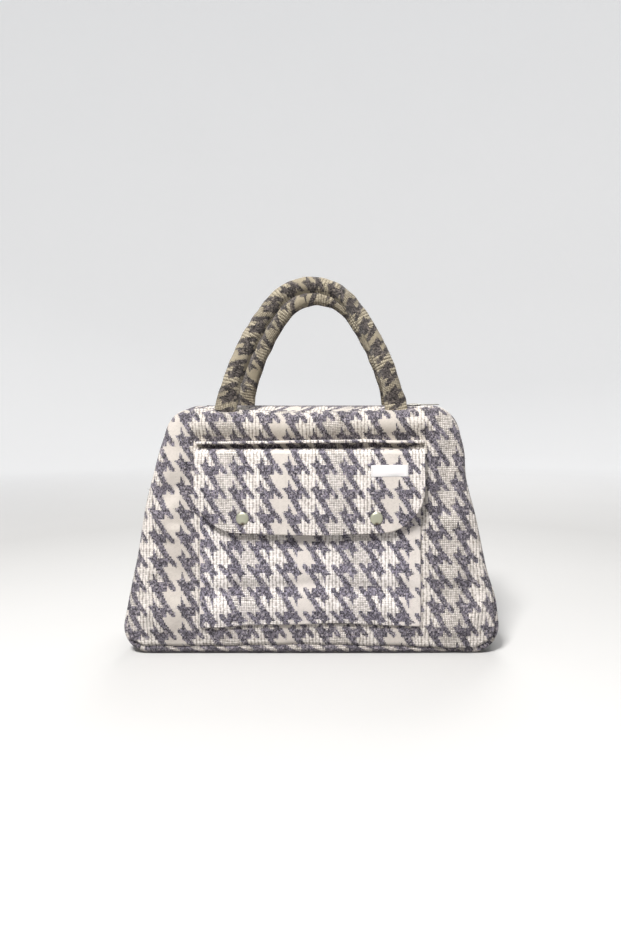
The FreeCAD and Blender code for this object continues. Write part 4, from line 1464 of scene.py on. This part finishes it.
class HANDBAG_OT_zip(bpy.types.Operator):
    """Make the zip's strips, facings, tapes, coils, slider and pull"""
    bl_idname = "handbag.zip"
    bl_label = "Zip"

    def execute(self, context):
        form = ZipForm()
        for side, name in SIDES:
            self.closure(form, side, name)
        self.tapes(form)
        self.ends(form)
        self.slider()
        self.pull()
        dress(["zip_stops"], "zip")
        dress(["base_board"], "board")
        return {"FINISHED"}

    def closure(self, form, side, name):
        """One half of what closes the opening: its folded strip and facing, its coil and its stitches."""
        surface = form.strip(side, name)
        hinge_y = fold_line(side, name)
        hinge = Vector((0, hinge_y, 0.21)), Vector((0, hinge_y - side * 0.004, 0.21))
        body = f"{name}_closure"
        # The strip's cloth gets painted shade.
        two_layers(f"soft_{name}_strip", body, {
            "cloth": (f"{name}_zip_strip", shell(*surface, 0, 0.0014)),
            "lining": (f"{name}_zip_facing", shell(*surface, 0.0015, 0.0019)),
        }, hinge, TOP_PAINTED_SHADE)
        low, high = form.coils[side]
        x = np.arange(low.x + COIL_PITCH / 2, high.x, COIL_PITCH) + (COIL_PITCH / 2 if side > 0 else 0)
        x = x[x < high.x - COIL_PITCH * 0.4]
        piece = make(f"{name}_coil_turns", *coil_turns(x, side, form.middle, low, high))
        finish_piece(piece, body, material("coil"), [f"{name}_zip_coil"])
        edge = form.strips[side][1].y if side < 0 else form.strips[side][0].y
        x = np.arange(low.x + 0.002, high.x - 0.001, 0.0031)
        y = np.full(len(x), edge + side * 0.0024)
        z = np.full(len(x), form.strips[side][1].z - 0.0001)
        line = form.body.settle(np.stack([x, y, z], axis=-1))
        piece = make(f"{name}_strip_stitches", *capsule_row(line, np.tile([0, 0, 1.0], (len(x), 1))))
        finish_piece(piece, body, material("thread"))

    def tape(self, low, high):
        """A length of woven tape with a close cross rib and a thicker edge on both sides."""
        x = np.linspace(low.x, high.x, max(int((high.x - low.x) / 0.00035), 8))
        share = np.array([0, 0.01, 0.03, 0.06, 0.1, 0.16, 0.3, 0.5, 0.7, 0.84, 0.9, 0.94, 0.97, 0.99, 1.0])
        gx, gy = np.meshgrid(x, low.y + (high.y - low.y) * share, indexing="ij")
        inset = np.minimum(gy - low.y, high.y - gy)
        rib = 0.00004 * (1 - np.cos(gx * 2 * math.pi / 0.0014))
        sunk = 0.00006 * smooth((inset - 0.0009) / 0.0004)
        z = high.z - rib - sunk - round_over(inset, 0.00025)
        grid = np.stack([gx, gy, z], axis=-1).reshape(-1, 3)
        faces, rim = grid_surface(len(x), len(share), turned=True)
        return shell(grid, faces, grid[:, :2].copy(), rim, 0, high.z - low.z - 0.00015)

    def tapes(self, form):
        """The tape under each coil, and its ends that are sewn in past the opening."""
        for side, name in SIDES:
            piece = make(f"soft_{name}_zip_tape", *self.tape(*form.tapes[side]))
            finish_piece(piece, f"{name}_closure", material("tape"), [f"{name}_zip_tape"])
        low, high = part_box("zip_tape_ends")
        inner = form.tapes[1][1].x
        parts = [self.tape(Vector((inner, low.y, low.z)), high),
                 self.tape(low, Vector((-inner, high.y, high.z)))]
        piece = make("soft_zip_tape_ends", *joined(parts))
        finish_piece(piece, "bag", material("tape"), ["zip_tape_ends"])

    def ends(self, form):
        """The panels past the zip's ends, each with a slot for the tape, and the coil that runs into it."""
        for side, name in ((1, "right"), (-1, "left")):
            low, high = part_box(f"{name}_zip_end_panel")
            inner, outer = (low.x, high.x) if side > 0 else (high.x, low.x)
            slot_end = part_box("zip_coil_ends")[1].x * side
            half_slot = abs(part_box("front_zip_strip")[1].y - form.middle)
            share = np.concatenate([[0, 0.02], np.linspace(0.06, 0.94, 18), [0.965, 0.985, 1.0]])
            gx, gs = np.meshgrid(inner + (outer - inner) * np.linspace(0, 1, 26), share, indexing="ij")
            closing = smooth((side * (gx - slot_end) + 0.0015) / 0.003)
            parts = []
            for edge, bank in ((low.y, -1), (high.y, 1)):
                stop = form.middle + bank * half_slot * (1 - closing)
                gy = edge + (stop - edge) * gs
                inset = np.abs(stop - gy)
                z = high.z - 0.0004 - round_over(inset + closing * 0.002, 0.0011)
                z = z - 0.0007 * hump(gy, edge, 0.0012)
                grid = form.body.settle(np.stack([gx, gy, z], axis=-1).reshape(-1, 3))
                faces, rim = grid_surface(*gx.shape, turned=bank != side)
                parts.append(shell(grid, faces, lay(gx, gy, PLAIN_REPEAT, TOP_PHASE), rim, 0, 0.0015))
            piece = make(f"soft_{name}_zip_end", *joined(parts))
            finish_piece(piece, "bag", material("cloth"), [f"{name}_zip_end_panel"])
            # Painted shade on the end panels' cloth.
            paint_shade_and_soil(piece, TOP_PAINTED_SHADE)
        low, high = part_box("zip_coil_ends")
        x = np.arange(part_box("front_zip_coil")[1].x + 0.0008, high.x - 0.0006, COIL_PITCH)
        turns = [coil_turns(np.sort(x * end), bank, form.middle, low, high)
                 for bank in (-1, 1) for end in (-1, 1)]
        piece = make("end_coil_turns", *joined(turns))
        finish_piece(piece, "bag", material("coil"), ["zip_coil_ends"])

    def slab(self, corners, radii, bottom, top, bevel):
        """A flat metal plate with rounded edges, from its outline in the XY plane."""
        outline = Outline(corners, radii)
        s = np.linspace(0, outline.total, 72, endpoint=False)
        point, normal = outline.at(s)
        turn = np.linspace(0, math.pi / 2, 5)
        inset, rise = bevel * (1 - np.sin(turn)), bevel * (1 - np.cos(turn))
        levels = list(zip(inset, bottom + rise)) + list(zip(inset[::-1], top - rise[::-1]))
        v = np.concatenate([np.column_stack([point - normal * back, np.full(len(s), z)])
                            for back, z in levels])
        return v, capped(len(levels), len(s)), v[:, :2].copy()

    def slider(self):
        """The slider: two plates joined by a neck, with a bridge on top for the pull."""
        low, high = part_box("zip_slider")
        mid_x, mid_y = (low.x + high.x) / 2, (low.y + high.y) / 2
        half, wide = (high.x - low.x) / 2, (high.y - low.y) / 2
        one_side = [(mid_x - half, 0.62 * wide), (mid_x + 0.2 * half, wide), (mid_x + half, 0.72 * wide)]
        neck_side = [(mid_x + 0.55 * half, 0.0009), (mid_x + 0.95 * half, 0.0014)]
        corners, neck = ([(x, mid_y - y) for x, y in half_way] + [(x, mid_y + y) for x, y in half_way[::-1]]
                         for half_way in (one_side, neck_side))
        radii = [0.0016, 0.004, 0.0018, 0.0018, 0.004, 0.0016]
        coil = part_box("front_zip_coil")[1].z
        plates = [self.slab(corners, radii, coil - 0.0002, coil + 0.0009, 0.0004),
                  self.slab(corners, radii, low.z, low.z + 0.0012, 0.0004),
                  self.slab(neck, [0.0004] * 4, low.z + 0.001, coil + 0.0006, 0.0001)]
        t = np.linspace(0, math.pi, 17)
        bar, rise = 0.0006, 0.0006
        arch = np.stack([mid_x - 0.0042 * np.cos(t), np.full(len(t), mid_y),
                         coil + bar + rise * np.sin(t) ** 0.6], axis=-1)
        plates.append(tube(arch, bar, 10))
        piece = make("zip_slider_body", *joined(plates))
        finish_piece(piece, "slider", material("zip"), ["zip_slider"])

    def pull(self):
        """The pull: a flat tongue with a window at one end and a soft swell towards the other."""
        low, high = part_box("zip_pull")
        mid_y, mid_z = (low.y + high.y) / 2, low.z - 0.0009
        half, thick = (high.y - low.y) / 2, 0.0005
        long = high.x - low.x
        narrow = 0.62 * half
        ring = np.linspace(0, 2 * math.pi, 64, endpoint=False)
        across, along = np.sin(ring), np.cos(ring)
        x = low.x + long / 2 * (1 + np.sign(along) * np.abs(along) ** 0.55)
        reach = narrow + (half - narrow) * smooth((x - low.x) / long)
        outer = np.column_stack([x, reach * np.sign(across) * np.abs(across) ** 0.8])
        hole = np.column_stack([low.x + 0.0013 + 0.0021 * (1 + along), 0.00143 * across])
        v, count = [], len(ring)
        for share, z in ((0.0, 0.55), (0.0, -0.55), (0.10, -1.0), (0.86, -1.0),
                         (1.0, -0.7), (1.0, 0.7), (0.86, 1.0), (0.10, 1.0)):
            flat = outer * (1 - share) + hole * share
            v.append(np.column_stack([flat[:, 0], mid_y + flat[:, 1], np.full(count, mid_z + z * thick)]))
        last = (len(v) - 1) * count
        faces = grid_faces(len(v), count, True)
        faces += [[last + k, last + (k + 1) % count, (k + 1) % count, k] for k in range(count)]
        v = np.concatenate(v)
        piece = make("zip_pull_tongue", v, flipped(faces), v[:, :2].copy())
        finish_piece(piece, "pull", material("zip"), ["zip_pull"])


# ---------------------------------------------------------------- stage
class HANDBAG_OT_stage(bpy.types.Operator):
    """Set the bag on a plain pale floor in soft studio light"""
    bl_idname = "handbag.stage"
    bl_label = "Stage"

    def execute(self, context):
        self.floor()
        self.world(context.scene)
        self.lights()
        self.camera(context.scene)
        context.scene.view_settings.view_transform = "Standard"
        return {"FINISHED"}

    def floor(self):
        """A flat round floor whose border curves up into a wall."""
        g = Graph("pale floor")
        path = g.tree.nodes.new("ShaderNodeLightPath").outputs
        mirrored = g.math("MAXIMUM", path["Is Glossy Ray"], path["Is Transmission Ray"])
        seen = g.math("MAXIMUM", path["Is Camera Ray"], mirrored)
        tone = g.mix(g.noise(3.0, 4.0), (0.555, 0.55, 0.54), (0.585, 0.58, 0.57))
        tone = g.mix(seen, (0.34, 0.335, 0.33), tone)
        place = g.node("ShaderNodeTexCoord", "Object")
        away = g.node("ShaderNodeVectorMath", "Value", {0: place}, operation="LENGTH")
        far = g.math("DIVIDE", g.math("SUBTRACT", away, 0.7), 1.3)
        pale = g.times(seen, g.math("MINIMUM", 1.0, g.math("MAXIMUM", 0.0, far)))
        g.finish(tone, Roughness=0.75, Emission_Color=(0.97, 0.98, 1.0),
                 Emission_Strength=g.times(pale, 0.48))
        reach, turn, height, steps, sides = 1.9, 0.8, 2.4, 16, 96
        profile = [(0.5 * reach, 0.0), (reach, 0.0)]
        profile += [(reach + turn * math.sin(a), turn * (1 - math.cos(a)))
                    for a in np.linspace(0, math.pi / 2, steps + 1)[1:]]
        profile.append((reach + turn, height))
        angle = np.linspace(0, 2 * math.pi, sides, endpoint=False)
        v = np.array([[r * math.cos(a), r * math.sin(a), z] for r, z in profile for a in angle])
        faces = flipped(grid_faces(len(profile), sides, True)) + [list(range(sides))]
        floor = make("floor", v, faces)
        floor.location.z = -0.0002
        floor.data.materials.append(g.material)

    def world(self, scene):
        world = bpy.data.worlds.new("soft room light")
        scene.world = world
        world.use_nodes = True
        background = world.node_tree.nodes["Background"]
        background.inputs["Color"].default_value = (0.95, 0.97, 1.0, 1.0)
        background.inputs["Strength"].default_value = 0.5

    def lights(self):
        for name, place, energy, size, tint in (
                ("key", (-0.30, -0.90, 1.30), 36.0, 0.32, (1.0, 0.99, 0.98)),
                ("fill", (1.2, -0.9, 0.6), 1.6, 1.0, (0.97, 0.98, 1.0)),
                ("back", (0.2, 1.2, 1.5), 15.0, 1.0, (1.0, 0.99, 0.98))):
            lamp = bpy.data.lights.new(name, "AREA")
            lamp.energy, lamp.size, lamp.color = energy, size, tint
            obj = bpy.data.objects.new(name, lamp)
            obj.location = place
            towards = Vector((0, 0, 0.13)) - obj.location
            obj.rotation_euler = towards.to_track_quat("-Z", "Y").to_euler()
            bpy.context.scene.collection.objects.link(obj)

    def camera(self, scene):
        """A level camera that faces the front squarely from a little to the right."""
        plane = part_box("front_panel")[0].y
        camera = bpy.data.cameras.new("camera")
        camera.sensor_width, camera.lens = 36.0, 25.5
        right, away, height, middle = 0.045, 0.560, 0.205, 0.1607
        reach = camera.lens / camera.sensor_width / away
        camera.shift_x, camera.shift_y = -right * reach, (middle - height) * reach
        obj = bpy.data.objects.new("camera", camera)
        obj.location = (right, plane - away, height)
        obj.rotation_euler = (math.pi / 2, 0, 0)
        scene.collection.objects.link(obj)
        scene.camera = obj


# ---------------------------------------------------------------- add-on
class HANDBAG_PT_panel(bpy.types.Panel):
    """Sizes, colours and pieces of the handbag"""
    bl_label = "Houndstooth Handbag"
    bl_idname = "HANDBAG_PT_panel"
    bl_space_type = "VIEW_3D"
    bl_region_type = "UI"
    bl_category = "Handbag"

    def draw(self, context):
        for group in ("handbag_body", "handbag_pocket", "handbag_handles", "handbag_cloth"):
            column = self.layout.column(align=True)
            values = getattr(context.scene, group)
            for name in values.__annotations__:
                column.prop(values, name)
        for operator in OPERATORS:
            self.layout.operator(operator.bl_idname)


GROUPS = {"handbag_body": BodySizes, "handbag_pocket": PocketSizes, "handbag_handles": HandleSizes,
          "handbag_cloth": ClothLook}
OPERATORS = (HANDBAG_OT_panels, HANDBAG_OT_gusset, HANDBAG_OT_top, HANDBAG_OT_pocket, HANDBAG_OT_flap,
             HANDBAG_OT_trim, HANDBAG_OT_handles, HANDBAG_OT_zip, HANDBAG_OT_stage)


def register():
    for kind in (*GROUPS.values(), *OPERATORS, HANDBAG_PT_panel):
        bpy.utils.register_class(kind)
    for name, group in GROUPS.items():
        setattr(bpy.types.Scene, name, PointerProperty(type=group))


def unregister():
    for name in GROUPS:
        delattr(bpy.types.Scene, name)
    for kind in reversed((*GROUPS.values(), *OPERATORS, HANDBAG_PT_panel)):
        bpy.utils.unregister_class(kind)


def main():
    register()
    for operator in OPERATORS:
        group, name = operator.bl_idname.split(".")
        getattr(getattr(bpy.ops, group), name)()


if __name__ == "__main__":
    main()
